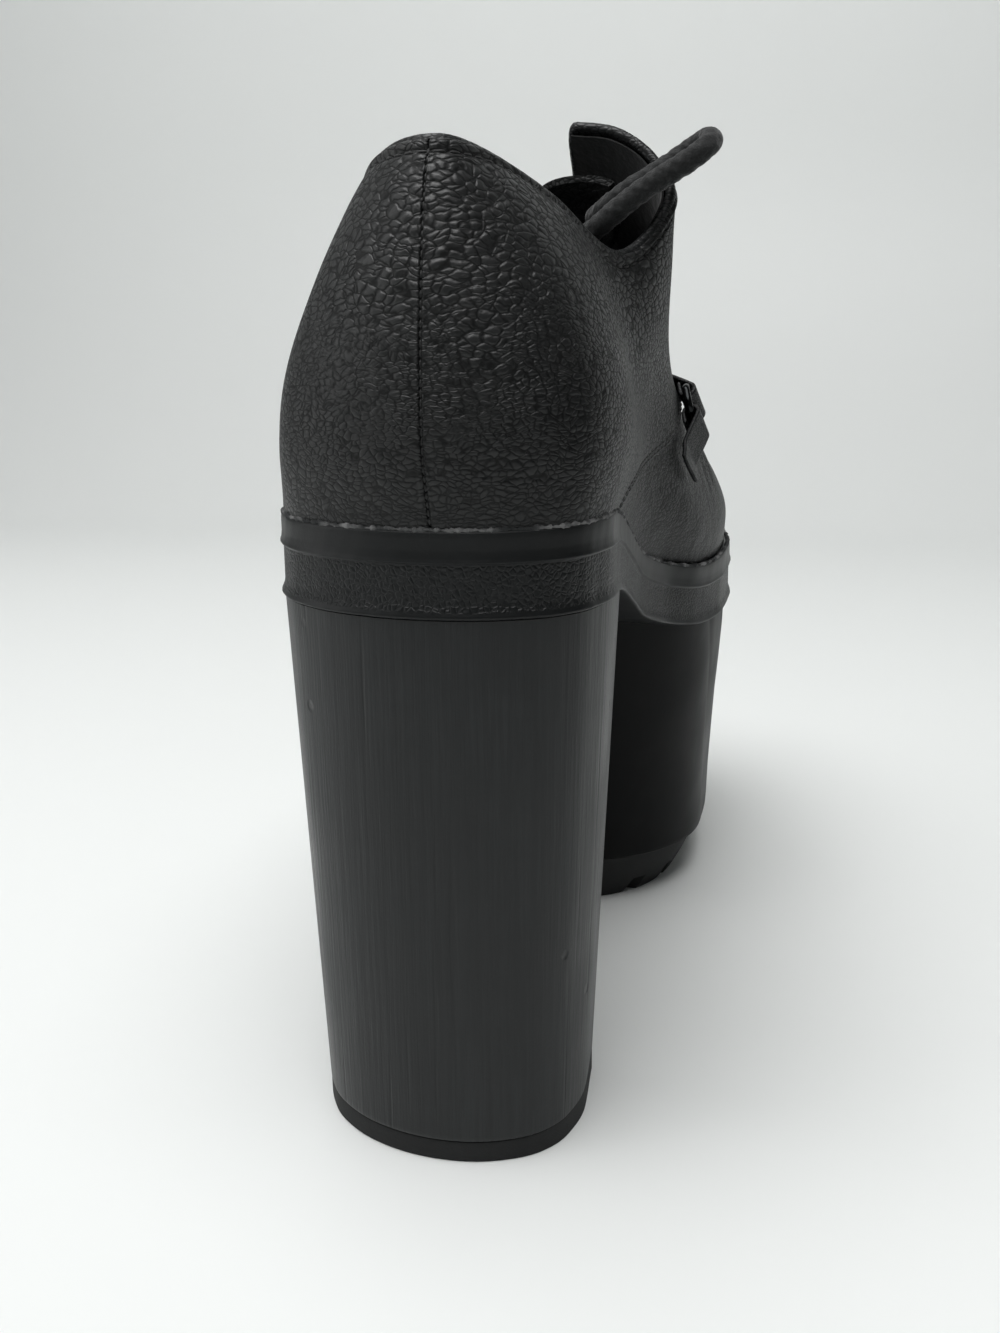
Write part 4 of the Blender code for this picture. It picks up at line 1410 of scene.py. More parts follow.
# Sole
@dataclass
class Sole:
    """Banded sole unit, forefoot tread, heel, top piece and sock."""

    last: Last
    shop: Workshop
    platform_rear: float = 104.0 * MM
    platform_lean: float = 20.0 * MM
    platform_round: float = 38.0 * MM
    platform_taper: float = 5.0 * MM
    tread_height: float = 14.0 * MM
    tread_inset: float = 2.5 * MM
    lug_depth: float = 4.6 * MM
    lug_spacing: float = 13.0 * MM
    groove_width: float = 3.6 * MM
    heel_depth: float = 46.0 * MM
    heel_foot_depth: float = 41.0 * MM
    heel_foot_width: float = 56.5 * MM
    heel_foot_shift: float = 0.9 * MM
    heel_inset: float = 0.1 * MM
    toplift_thick: float = 4.7 * MM
    toplift_inset: float = 0.5 * MM
    insole_thick: float = 2.0 * MM
    insole_gap: float = 1.4 * MM

    def build(self) -> None:
        """Build every piece under the foot."""
        self.build_band()
        self.build_platform()
        self.build_tread()
        self.build_heel()
        self.build_toplift()
        self.build_sock()
        self.build_cement()

    def ring(self, u: Array, inset: Array | float) -> Array:
        """Points all round the outline.

        Args:
            u: Shares round it, 0 at the heel's back, going by the inner side.
            inset: How far they move inwards.

        Returns:
            Side and forward of each point.
        """
        turn = 2.0 * np.where(u >= 1.0, 0.0, u)
        sign = np.where(turn <= 1.0, 1.0, -1.0)
        return self.last.outline(np.where(turn <= 1.0, turn, 2.0 - turn), sign, inset)

    def spine(self, u: Array) -> Array:
        """Points of the sole's middle line that face the outline.

        Args:
            u: Shares round the outline, 0 at the heel's back.

        Returns:
            Side and forward of each point.
        """
        length, end = self.last.sizes.length, 25.0 * MM
        forward = (1.0 - np.cos(2.0 * math.pi * u)) / 2.0 * length
        return np.column_stack((np.zeros(len(u)), np.clip(forward, end, length - end)))

    def rim_row(self, u: Array, inset: Array | float, inwards: float, rise: float) -> Array:
        """Row of points all round the rim.

        Args:
            u: Shares round it.
            inset: How far the row lies inside the outline.
            inwards: Share of the way in to the middle line.
            rise: Its height over the rim.

        Returns:
            The points.
        """
        spots = self.ring(u, inset)
        spots = spots + (self.spine(u) - spots) * inwards
        return self.last.place(np.column_stack((spots, self.last.rim_height(spots[:, 1]) + rise)))

    def build_band(self) -> None:
        """The rim all round: smooth lip, two ridges and the textured band between."""
        profile = np.array((
            # share along, drop in millimetres, outward in millimetres, share of the way in from the rim
            (0.00, 0.0, -3.0, 0.7), (0.10, 0.0, -2.6, 0.0), (0.15, 0.0, -0.75, 0.0),
            (0.18, 0.1, -0.25, 0.0), (0.21, 0.35, -0.03, 0.0), (0.26, 1.2, 0.05, 0.0),
            (0.36, 3.6, 0.05, 0.0), (0.42, 4.9, 0.22, 0.0), (0.45, 5.35, 0.42, 0.0),
            (0.47, 5.55, 0.46, 0.0), (0.49, 5.72, 0.36, 0.0), (0.51, 5.86, 0.06, 0.0),
            (0.53, 6.1, -0.14, 0.0), (0.57, 7.0, -0.18, 0.0), (0.71, 13.0, -0.18, 0.0),
            (0.75, 13.9, -0.05, 0.0), (0.79, 14.7, 0.30, 0.0), (0.82, 15.2, 0.52, 0.0),
            (0.85, 15.5, 0.56, 0.0), (0.88, 15.72, 0.44, 0.0), (0.91, 15.88, 0.12, 0.0),
            (0.93, 16.0, -0.3, 0.0), (1.00, 16.0, -3.0, 1.0)))

        def loop_at(row: float, u: Array) -> Array:
            """Points of one row of the band.

            Args:
                row: Share along the profile.
                u: Shares round the rim.

            Returns:
                The points.
            """
            drop, out, inwards = read_columns(row, profile[:, 0], profile[:, 1:])
            sway = 0.06 * MM * ripple(u * 140.0, row * 3.0) * (1.0 if inwards == 0.0 else 0.0)
            return self.rim_row(u, sway - out * MM, inwards, -drop * MM)

        piece = shaped_grid("sole_band", 560, 66, by_rows(loop_at), (0.62, 0.03), weld=True)
        places = corner_places(piece)
        rim = self.last.rim_height(places[:, 1] + self.last.sizes.heel_centre)
        drop = (rim - places[:, 2]) / MM
        zone = piece.data.attributes.new("band_zone", "FLOAT", "POINT")
        zone.data.foreach_set("value", smooth_step(6.0, 6.4, drop) * (1.0 - smooth_step(14.2, 14.8, drop)))
        self.shop.finish(piece, Finish.SOLE, ("sole_unit",))

    def platform_loop(self, share: float, inset: float, u: Array) -> Array:
        """Loop of the platform's side.

        Args:
            share: Share of the way down, which leans its rear.
            inset: How far it lies inside the outline.
            u: Shares round it.

        Returns:
            Side and forward of each point.
        """
        rear = self.platform_rear + self.platform_lean * share
        round_end = rear + self.platform_round
        first = math.acos(1.0 - 2.0 * round_end / self.last.sizes.length) / math.pi
        halves = []
        for sign in (1.0, -1.0):
            turns = np.linspace(first, 1.0, 150)
            side = self.last.outline(turns, np.full(len(turns), sign), inset)
            angle = np.linspace(0.0, math.pi / 2.0, 40, endpoint=False)
            across, forward = side[0]
            back = np.column_stack((across * np.sin(angle) ** 0.85,
                                    rear + (forward - rear) * (1.0 - np.cos(angle))))
            halves.append(np.vstack((back, side)))
        loop = np.vstack((halves[0], halves[1][1:-1][::-1]))
        return even_loop(loop, u)

    def closed_body(self, name: str, stations: tuple, loop: Callable[[float, float, Array], Array],
                    lift: Callable[[float, Array], Array],
                    columns: int, rows: int) -> bpy.types.Object:
        """Body between a top and a foot whose side follows loops.

        Args:
            name: Name of the piece.
            stations: Share down, inset in metres and share inwards at even steps.
            loop: Gives side and forward from share, inset and shares round.
            lift: Gives heights from the share down and the forward distances.
            columns: Faces round it.
            rows: Faces along its profile.

        Returns:
            The piece.
        """
        table = np.array(stations)
        knots = np.linspace(0.0, 1.0, len(table))

        def loop_at(row: float, u: Array) -> Array:
            """Points of one row.

            Args:
                row: Share along the profile.
                u: Shares round it.

            Returns:
                The points.
            """
            share, inset, inwards = read_columns(row, knots, table)
            spots = loop(share, inset, np.where(u >= 1.0, 0.0, u))
            middle = np.stack((np.full(len(u), spots[:, 0].mean()), spots[:, 1]), axis=1)
            centre = spots[:, 1].mean()
            middle[:, 1] = centre + (middle[:, 1] - centre) * 0.6
            spots = spots + (middle - spots) * inwards
            return self.last.place(np.column_stack((spots, lift(share, spots[:, 1]))))

        piece = shaped_grid(name, columns, rows, by_rows(loop_at), (0.4, 0.1), weld=True)
        edit_mesh(piece, lambda: bpy.ops.mesh.fill_holes(sides=0))
        edit_mesh(piece, lambda: bpy.ops.mesh.normals_make_consistent(inside=False))
        shade_by_angle(piece, 42.0)
        return piece

    def side_height(self, share: float, forward: Array, drop: float,
                    low: Array | float) -> Array:
        """Heights of a side that hangs from the rim.

        Args:
            share: Share of the way down.
            forward: Forward distances.
            drop: How far under the rim it starts.
            low: Height of its foot.

        Returns:
            The heights.
        """
        top = self.last.rim_height(forward) - drop
        return top + (low - top) * share

    def ground_spring(self, forward: Array) -> Array:
        """Rise of the tread's underside towards the toe.

        Args:
            forward: Distances from the heel's back.

        Returns:
            The rise at each distance.
        """
        share = np.maximum(forward / self.last.sizes.length - 0.78, 0.0) / 0.22
        return self.last.sizes.toe_spring * 1.4 * share * share

    def build_platform(self) -> None:
        """Platform under the forepart, leaning in towards the tread."""
        drop = self.last.sizes.band_height * 0.9
        # share down and inset in millimetres of the side
        side = ((0.0, 1.2), (0.04, 1.25), (0.16, 1.6), (0.30, 2.3), (0.45, 3.2), (0.62, 3.9), (0.8, 4.6),
                (0.95, 4.9), (0.985, 5.05), (0.997, 5.3), (1.0, 5.8))
        stations = ((0.0, 1.2 * MM, 0.9), *((share, inset * MM, 0.0) for share, inset in side),
                    (1.0, 6.4 * MM, 0.9))
        piece = self.closed_body(
            "platform", stations, self.platform_loop, lambda share, forward: self.side_height(
                share, forward, drop, self.tread_height + self.ground_spring(forward)), 320, 48)
        self.shop.finish(piece, Finish.PLATFORM)

    def build_tread(self) -> None:
        """Lugged rubber tread: a plate cut by grooves across it."""
        size = self.last.sizes
        base = self.platform_taper + self.tread_inset
        high = self.tread_height - size.clearance
        stations = ((0.0, base, 0.9), (0.0, base, 0.0), (0.30, base + 1.2 * MM, 0.0),
                    (0.62, base + 3.2 * MM, 0.0), (0.9, base + 5.2 * MM, 0.0),
                    (1.0, base + 6.0 * MM, 0.0), (1.0, base + 6.0 * MM, 0.9))
        tread = self.closed_body(
            "tread", stations, lambda share, inset, u: self.platform_loop(1.0 + 0.25 * share, inset, u),
            lambda share, forward: high * (1.0 - share) + self.ground_spring(forward), 168, 12)
        first = self.platform_rear + self.platform_lean + self.lug_spacing
        count = int((size.length - first) / self.lug_spacing)
        for index in range(count):
            forward = first + index * self.lug_spacing
            low = float(self.ground_spring(np.array([forward]))[0])
            bpy.ops.object.select_all(action="DESELECT")
            bpy.ops.mesh.primitive_cube_add(size=1.0, location=(0.0, forward - size.heel_centre, low))
            groove = bpy.context.object
            groove.scale = (size.ball_width * 1.2, self.groove_width, 2.0 * self.lug_depth)
            modify(tread, "BOOLEAN", operation="DIFFERENCE", solver="EXACT", object=groove)
            bpy.data.objects.remove(groove)
        modify(tread, "BEVEL", width=0.35 * MM, segments=2, limit_method="ANGLE",
               angle_limit=math.radians(50.0))
        shade_by_angle(tread, 40.0)
        self.shop.finish(tread, Finish.RUBBER, ("forefoot_tread",))

    def heel_loop(self, share: float, inset: float, u: Array) -> Array:
        """D shaped loop of the heel.

        Args:
            share: 0 under the band and 1 at the floor.
            inset: How far it lies inside the outline.
            u: Shares round it.

        Returns:
            Side and forward of each point.
        """
        end = math.acos(1.0 - 2.0 * self.heel_depth / self.last.sizes.length) / math.pi
        corner = 3.0 * MM
        turns = np.linspace(0.0, end, 90)
        sides = {sign: self.last.outline(turns, np.full(90, float(sign)), inset) for sign in (1, -1)}
        middle = (sides[1][-1, 0] + sides[-1][-1, 0]) / 2.0
        width = sides[1][-1, 0] - sides[-1][-1, 0]
        halves = []
        for sign, side in sides.items():
            angle = np.linspace(0.0, math.pi / 2.0, 8)
            bend = np.column_stack((side[-1, 0] - sign * corner * (1.0 - np.cos(angle)),
                                    side[-1, 1] - corner * (1.0 - np.sin(angle))))
            halves.append(np.vstack((side[:-1], bend, ((middle, side[-1, 1]),))))
        loop = np.vstack((halves[0], halves[1][1:-1][::-1]))
        narrow = 1.0 + (self.heel_foot_width / width - 1.0) * share
        shallow = 1.0 + (self.heel_foot_depth / self.heel_depth - 1.0) * share
        spots = even_loop(loop, u)
        across = middle + self.heel_foot_shift * share + (spots[:, 0] - middle) * narrow
        return np.column_stack((across, spots[:, 1] * shallow))

    def build_heel(self) -> None:
        """Tall block heel with small nicks on its outer edge."""
        # side and height of each nick
        nicks = ((-0.0375, 0.071), (-0.0365, 0.030), (-0.0345, 0.010))
        inset = self.heel_inset
        drop, low = self.last.sizes.band_height - 0.2 * MM, self.toplift_thick + 0.05 * MM
        stations = ((0.0, inset + 1.0 * MM, 0.9), (0.0, inset + 0.3 * MM, 0.0), (0.003, inset, 0.0))
        stations += tuple((share, inset, 0.0) for share in np.linspace(0.04, 0.96, 18))
        stations += ((0.993, inset, 0.0), (0.998, inset + 0.15 * MM, 0.0), (1.0, inset + 0.45 * MM, 0.0),
                     (1.0, inset + 1.0 * MM, 0.9))
        piece = self.closed_body("heel_block", stations, self.heel_loop,
                                 lambda share, forward: self.side_height(share, forward, drop, low), 300, 120)
        places = corner_places(piece)
        for side, height in nicks:
            near = np.exp(-((places[:, 0] - side) / (1.6 * MM)) ** 2
                          - ((places[:, 2] - height) / (1.3 * MM)) ** 2)
            places[:, 0] += 0.45 * MM * near * (places[:, 1] < 0.0)
        piece.data.vertices.foreach_set("co", places.ravel())
        piece.data.update()
        self.shop.finish(piece, Finish.HEEL, ("heel_block",))

    def build_toplift(self) -> None:
        """Rubber top piece under the heel."""
        edge = self.heel_inset + self.toplift_inset
        stations = ((0.0, edge + 1.0 * MM, 0.9), (0.0, edge + 0.3 * MM, 0.0), (0.05, edge + 0.05 * MM, 0.0),
                    (0.12, edge, 0.0), (0.75, edge + 0.1 * MM, 0.0), (0.93, edge + 0.2 * MM, 0.0),
                    (0.99, edge + 0.45 * MM, 0.0), (1.0, edge + 0.8 * MM, 0.0), (1.0, edge + 1.0 * MM, 0.9))
        piece = self.closed_body(
            "top_piece", stations, lambda _share, inset, u: self.heel_loop(1.0, inset, u),
            lambda share, forward: np.full(len(forward), self.toplift_thick * (1.0 - share)), 260, 32)
        self.shop.finish(piece, Finish.RUBBER, ("toplift",))

    def build_sock(self) -> None:
        """Insole board and sock on the rim inside the upper."""
        size = self.last.sizes
        inset = size.rim_ledge + size.upper_wall + self.insole_gap
        profile = np.array((
            # share along, share of the thickness, further in in millimetres, share of the way in
            (0.0, 0.0, 0.0, 0.9), (0.25, 0.0, 0.0, 0.0), (0.35, 0.7, 0.1, 0.0), (0.45, 1.0, 0.6, 0.0),
            (0.55, 1.0, 1.5, 0.0), (1.0, 1.0, 2.0, 1.0)))

        def loop_at(row: float, u: Array) -> Array:
            """Points of one row of the sock.

            Args:
                row: Share along its profile.
                u: Shares round it.

            Returns:
                The points.
            """
            up, more, inwards = read_columns(row, profile[:, 0], profile[:, 1:])
            return self.rim_row(u, inset + more * MM, inwards, size.clearance + up * self.insole_thick)

        piece = shaped_grid("sock", 220, 40, by_rows(loop_at), (0.55, 0.1), weld=True)
        self.shop.finish(piece, Finish.SOCK, ("insole",))

    def build_cement(self) -> None:
        """Uneven line of dry cement between the upper and the rim's top."""
        size = self.last.sizes
        around = np.linspace(-1.0, 1.0, 900, endpoint=False)
        path = self.last.skin(around, np.zeros(len(around)), size.quarter_step - 0.1 * MM)
        path[:, 2] = self.last.rim_height(path[:, 1] + size.heel_centre) + 0.12 * MM
        at_back = np.abs(around) < np.abs(self.last.edge(np.zeros(1))[0])
        path[:, 2] += 0.14 * MM * ripple(around * 190.0, 1.7) * at_back

        def radius(angle: Array, distance: Array) -> Array:
            """Thickness of the line.

            Args:
                angle: Angles round it.
                distance: Distances along it.

            Returns:
                The radius there.
            """
            swell = 0.5 + 0.28 * ripple(distance / MM * 0.9, 0.4) + 0.16 * ripple(distance / MM * 3.1, 2.0)
            return MM * np.clip(swell, 0.18, 0.95) * (1.0 + 0.12 * np.sin(3.0 * angle))

        self.shop.finish(tube("cement_line", path, radius, 8, closed=True), Finish.GLUE)


# Upper
@dataclass
class Upper:
    """Vamp, two quarters, lining, folded edges, seams and tongue."""

    last: Last
    shop: Workshop
    tongue_thick: float = 2.0 * MM
    tongue_drop: float = 5.6 * MM
    tongue_around: float = 0.735
    tongue_top: float = 0.936
    collar_bead: float = 1.15 * MM
    collar_seam: float = 2.9 * MM
    front_seams: tuple[float, ...] = (1.7 * MM, 4.1 * MM)
    facing_seam: float = 2.6 * MM
    stitch: StitchRow = field(default_factory=StitchRow)

    def build(self) -> None:
        """Build every leather piece over the sole."""
        self.build_vamp()
        for side in Side:
            self.build_quarter(side)
            self.build_front_seam(side)
        self.build_lining()
        self.build_collar()
        self.build_back_seam()
        self.build_tongue()

    def height_of(self, around: Array) -> Array:
        """Length of the quarter's side below the top edge, by one unit of level.

        Args:
            around: Places round the outline.

        Returns:
            Metres for each unit of level near the top edge.
        """
        top, under = (self.last.point(around, np.full(len(around), level)) for level in (1.0, 0.9))
        return np.linalg.norm(top - under, axis=1) / 0.1

    def build_vamp(self) -> None:
        """Vamp over the toes, with soft creases where the foot bends."""
        throat = self.last.sizes.throat_level

        def shape(u: Array, v: Array) -> Array:
            """Place the vamp's corners.

            Args:
                u: Shares across, from the inner edge over the toe.
                v: Shares up to the throat.

            Returns:
                The places.
            """
            level = v * throat
            start = np.maximum(self.last.edge(level) - 0.035, 0.0)
            share = 2.0 * u - 1.0
            around = np.where(share < 0.0, start + (1.0 - start) * (share + 1.0), 1.0 + (1.0 - start) * share)
            spots = self.last.point(around, level)
            forward = spots[:, 1] / self.last.sizes.length
            proud = np.full(len(u), -0.15 * MM)
            for where, bow, depth in ((0.615, 0.035, 0.42), (0.652, 0.045, 0.55), (0.690, 0.03, 0.36)):
                line = forward - where + bow * (spots[:, 0] / 0.045) ** 2
                fade = smooth_step(0.16, 0.30, level)
                proud -= depth * MM * np.exp(-(line / 0.0075) ** 2) * fade
                proud += 0.3 * depth * MM * np.exp(-((line - 0.02) / 0.010) ** 2) * fade
            return self.last.skin(around, level, proud)

        piece = shaped_grid("vamp", 260, 84, shape, (0.35, 0.07))
        thicken(piece, 1.3 * MM)
        self.shop.finish(piece, Finish.LEATHER, ("upper",))

    def quarter_proud(self, around: Array, level: Array) -> Array:
        """How far the quarter stands off the last, with its rolled edges and seams.

        Args:
            around: Places round the outline, without sign.
            level: Levels.

        Returns:
            The distance off the last at each place.
        """
        front = (self.last.edge(level) - around) * AROUND_UNIT
        back = around * AROUND_UNIT
        top = (1.0 - level) * self.height_of(around)
        proud = self.last.sizes.quarter_step - rounded(front, 1.0 * MM) - rounded(back, 1.1 * MM)
        proud = proud - 0.5 * rounded(top, 1.2 * MM)
        proud -= 0.50 * MM * np.exp(-((top - self.collar_seam) / (0.55 * MM)) ** 2)
        proud += 0.30 * MM * np.exp(-((top - 1.4 * MM) / (0.9 * MM)) ** 2)
        for row in self.front_seams:
            proud -= 0.12 * MM * np.exp(-((front - row) / (0.5 * MM)) ** 2)
        proud -= 0.10 * MM * np.exp(-((back - 1.8 * MM) / (0.7 * MM)) ** 2)
        return proud

    def build_quarter(self, side: Side) -> None:
        """One quarter, from the back seam to its front edge and facing.

        Args:
            side: Side of the foot.
        """
        sign = side.value

        def shape(u: Array, v: Array) -> Array:
            """Place the quarter's corners.

            Args:
                u: Shares along, in the direction that turns about the shoe.
                v: Shares up.

            Returns:
                The places.
            """
            share = u if sign > 0 else 1.0 - u
            level = eased(v, 0.55)
            around = np.maximum(eased(share, 0.82), 0.0002) * self.last.edge(level)
            return self.last.skin(sign * around, level, self.quarter_proud(around, level))

        word = side.name.lower()
        piece = shaped_grid("quarter_" + word, 250, 120, shape, (0.2, 0.09))
        thicken(piece, 1.4 * MM)
        self.shop.finish(piece, Finish.LEATHER, ("upper",))

    def on_skin(self, around: Array, level: Array, lift: float) -> tuple[Array, Array]:
        """Points and directions of a line over the quarters.

        Args:
            around: Places round the outline, with sign.
            level: Levels.
            lift: How far the line stands over the quarter.

        Returns:
            The points and the outward directions.
        """
        proud = self.quarter_proud(np.abs(around), level) + lift
        return self.last.skin(around, level, proud), self.last.normal(around, level)

    def build_front_seam(self, side: Side) -> None:
        """Two rows of stitches along a quarter's front edge, and one by the throat.

        Args:
            side: Side of the foot.
        """
        sign, word = side.value, side.name.lower()
        level = np.linspace(0.012, 0.60, 260)
        for index, distance in enumerate(self.front_seams):
            around = self.last.edge(level) - distance / AROUND_UNIT
            path, normals = self.on_skin(sign * around, level, 0.06 * MM)
            piece = self.stitch.sew("front_stitches_%s_%d" % (word, index + 1), path, normals)
            self.shop.finish(piece, Finish.THREAD)
        level = np.linspace(0.61, 0.985, 200)
        around = np.full(len(level), self.last.sizes.slit_around - self.facing_seam / AROUND_UNIT)
        path, normals = self.on_skin(sign * around, level, 0.06 * MM)
        self.shop.finish(self.stitch.sew("facing_stitches_" + word, path, normals), Finish.THREAD)

    def build_lining(self) -> None:
        """Soft lining inside the quarters and the vamp's sides."""
        wall = self.last.sizes.upper_wall
        slit = self.last.sizes.slit_around

        def shape(u: Array, v: Array) -> Array:
            """Place the lining's corners.

            Args:
                u: Shares round the foot.
                v: Shares up.

            Returns:
                The places.
            """
            level = 0.02 + 0.975 * v
            around = (2.0 * u - 1.0) * (slit - 0.004)
            puff = 0.35 * MM * np.exp(-((1.0 - level) * 80.0 / 6.0) ** 2)
            return self.last.skin(around, level, -wall + 0.42 * MM - puff)

        piece = shaped_grid("lining", 260, 90, shape, (0.45, 0.09))
        thicken(piece, 0.4 * MM)
        self.shop.finish(piece, Finish.LINING)

    def top_line(self) -> tuple[Array, Array]:
        """Places of the collar's and the throat's edge, from one slit's foot to the other.

        Returns:
            The places round the outline and the levels.
        """
        slit, throat = self.last.sizes.slit_around, self.last.sizes.throat_level
        corner, corner_level = 0.022, 0.972
        rise = np.linspace(throat + 0.012, corner_level, 130)
        bend = np.linspace(0.0, math.pi / 2.0, 22)[1:-1]
        round_around = slit - corner + corner * np.cos(bend)
        round_level = corner_level + (1.0 - corner_level) * np.sin(bend)
        run = np.linspace(slit - corner, -(slit - corner), 620)
        around = np.concatenate((np.full(len(rise), slit), round_around, run, -round_around[::-1],
                                 np.full(len(rise), -slit)))
        level = np.concatenate((rise, round_level, np.ones(len(run)), round_level[::-1], rise[::-1]))
        return around, level

    def build_collar(self) -> None:
        """Folded edge round the collar and down both facings, and its stitches."""
        around, level = self.top_line()
        size = self.last.sizes
        middle = (size.quarter_step - size.upper_wall) / 2.0
        path = self.last.skin(around, level, middle + 0.1 * MM)
        path = smooth_route(path[::4], len(path))
        piece = tube("folded_edge", path, lambda angle, distance:
                     self.collar_bead * (1.0 + 0.03 * ripple(distance / MM * 0.7, 1.0)) + 0.0 * angle, 16)
        self.shop.finish(piece, Finish.SMOOTH_EDGE)
        run = np.linspace(-0.75, 0.75, 500)
        drop = self.collar_seam / self.height_of(np.abs(run))
        path, normals = self.on_skin(run, 1.0 - drop, 0.08 * MM)
        self.shop.finish(self.stitch.sew("collar_stitches", path, normals), Finish.THREAD)

    def build_back_seam(self) -> None:
        """Closed seam up the middle of the heel, sewn with short dark stitches."""
        level = np.linspace(0.01, 0.992, 300)
        around = np.zeros(len(level))
        path = self.last.skin(around, level, self.last.sizes.quarter_step - 0.72 * MM)
        normals = self.last.normal(around, level)
        short = StitchRow(pitch=1.6 * MM, length=1.6 * MM, radius=0.36 * MM)
        self.shop.finish(short.sew("back_seam", path, normals), Finish.THREAD)

    def build_tongue(self) -> None:
        """Tongue with a round top and a stitched edge."""
        size = self.last.sizes
        base, span = 0.50, self.tongue_top - 0.50

        def spots(share: Array, rise: Array,
                  lift: Array | float) -> tuple[Array, Array]:
            """Places on the tongue.

            Args:
                share: Shares across, from -1 to 1.
                rise: Shares up.
                lift: How far the places stand over its outer face.

            Returns:
                The places and the outward directions.
            """
            level = base + span * rise
            lean = np.where(share < 0.0, 0.034 * smooth_step(0.0, 0.65, -share), -0.02 * share * share)
            level = level + lean * smooth_step(0.8, self.tongue_top, level)
            drop = size.upper_wall + 2.0 * size.clearance + self.tongue_drop * smooth_step(0.56, 0.68, level)
            inner = 1.0 + 0.62 * smooth_step(0.80, 0.90, level) * (share < 0.0)
            around = 1.0 + (1.0 - self.tongue_around) * share * inner
            edge = np.minimum(1.0 - np.abs(share), (1.0 - rise) * 1.6)
            puff = 0.5 * MM * smooth_step(0.05, 0.14, edge) * smooth_step(0.60, 0.72, level)
            proud = lift - drop + puff - 0.45 * MM
            return self.last.skin(around, level, proud), self.last.normal(around, level)

        def shape(u: Array, v: Array) -> Array:
            """Place the tongue's corners.

            Args:
                u: Shares across.
                v: Shares up.

            Returns:
                The places.
            """
            share, rise = eased(u, 0.5) * 2.0 - 1.0, eased(v, 0.5)
            soft = 0.6 * MM
            roll = rounded((1.0 - np.abs(share)) * 30.0 * MM, soft) + rounded((1.0 - rise) * 40.0 * MM, soft)
            return spots(share, rise, -np.minimum(roll, soft))[0]

        piece = shaped_grid("leather_tongue", 90, 130, shape, (0.06, 0.09))
        thicken(piece, self.tongue_thick - 0.4 * MM)
        self.shop.finish(piece, Finish.TONGUE, ("tongue",))
        side = np.linspace(0.55, 0.90, 120)
        bend = np.linspace(0.0, math.pi / 2.0, 24)[1:-1]
        across, up = 0.76 + 0.10 * np.cos(bend), 0.90 + 0.04 * np.sin(bend)
        share = np.concatenate((np.full(120, -0.86), -across, np.linspace(-0.76, 0.76, 80),
                                across[::-1], np.full(120, 0.86)))
        rise = np.concatenate((side, up, np.full(80, 0.94), up[::-1], side[::-1]))
        path, normals = spots(share, rise, 0.05 * MM)
        self.shop.finish(self.stitch.sew("tongue_stitches", path, normals), Finish.THREAD)


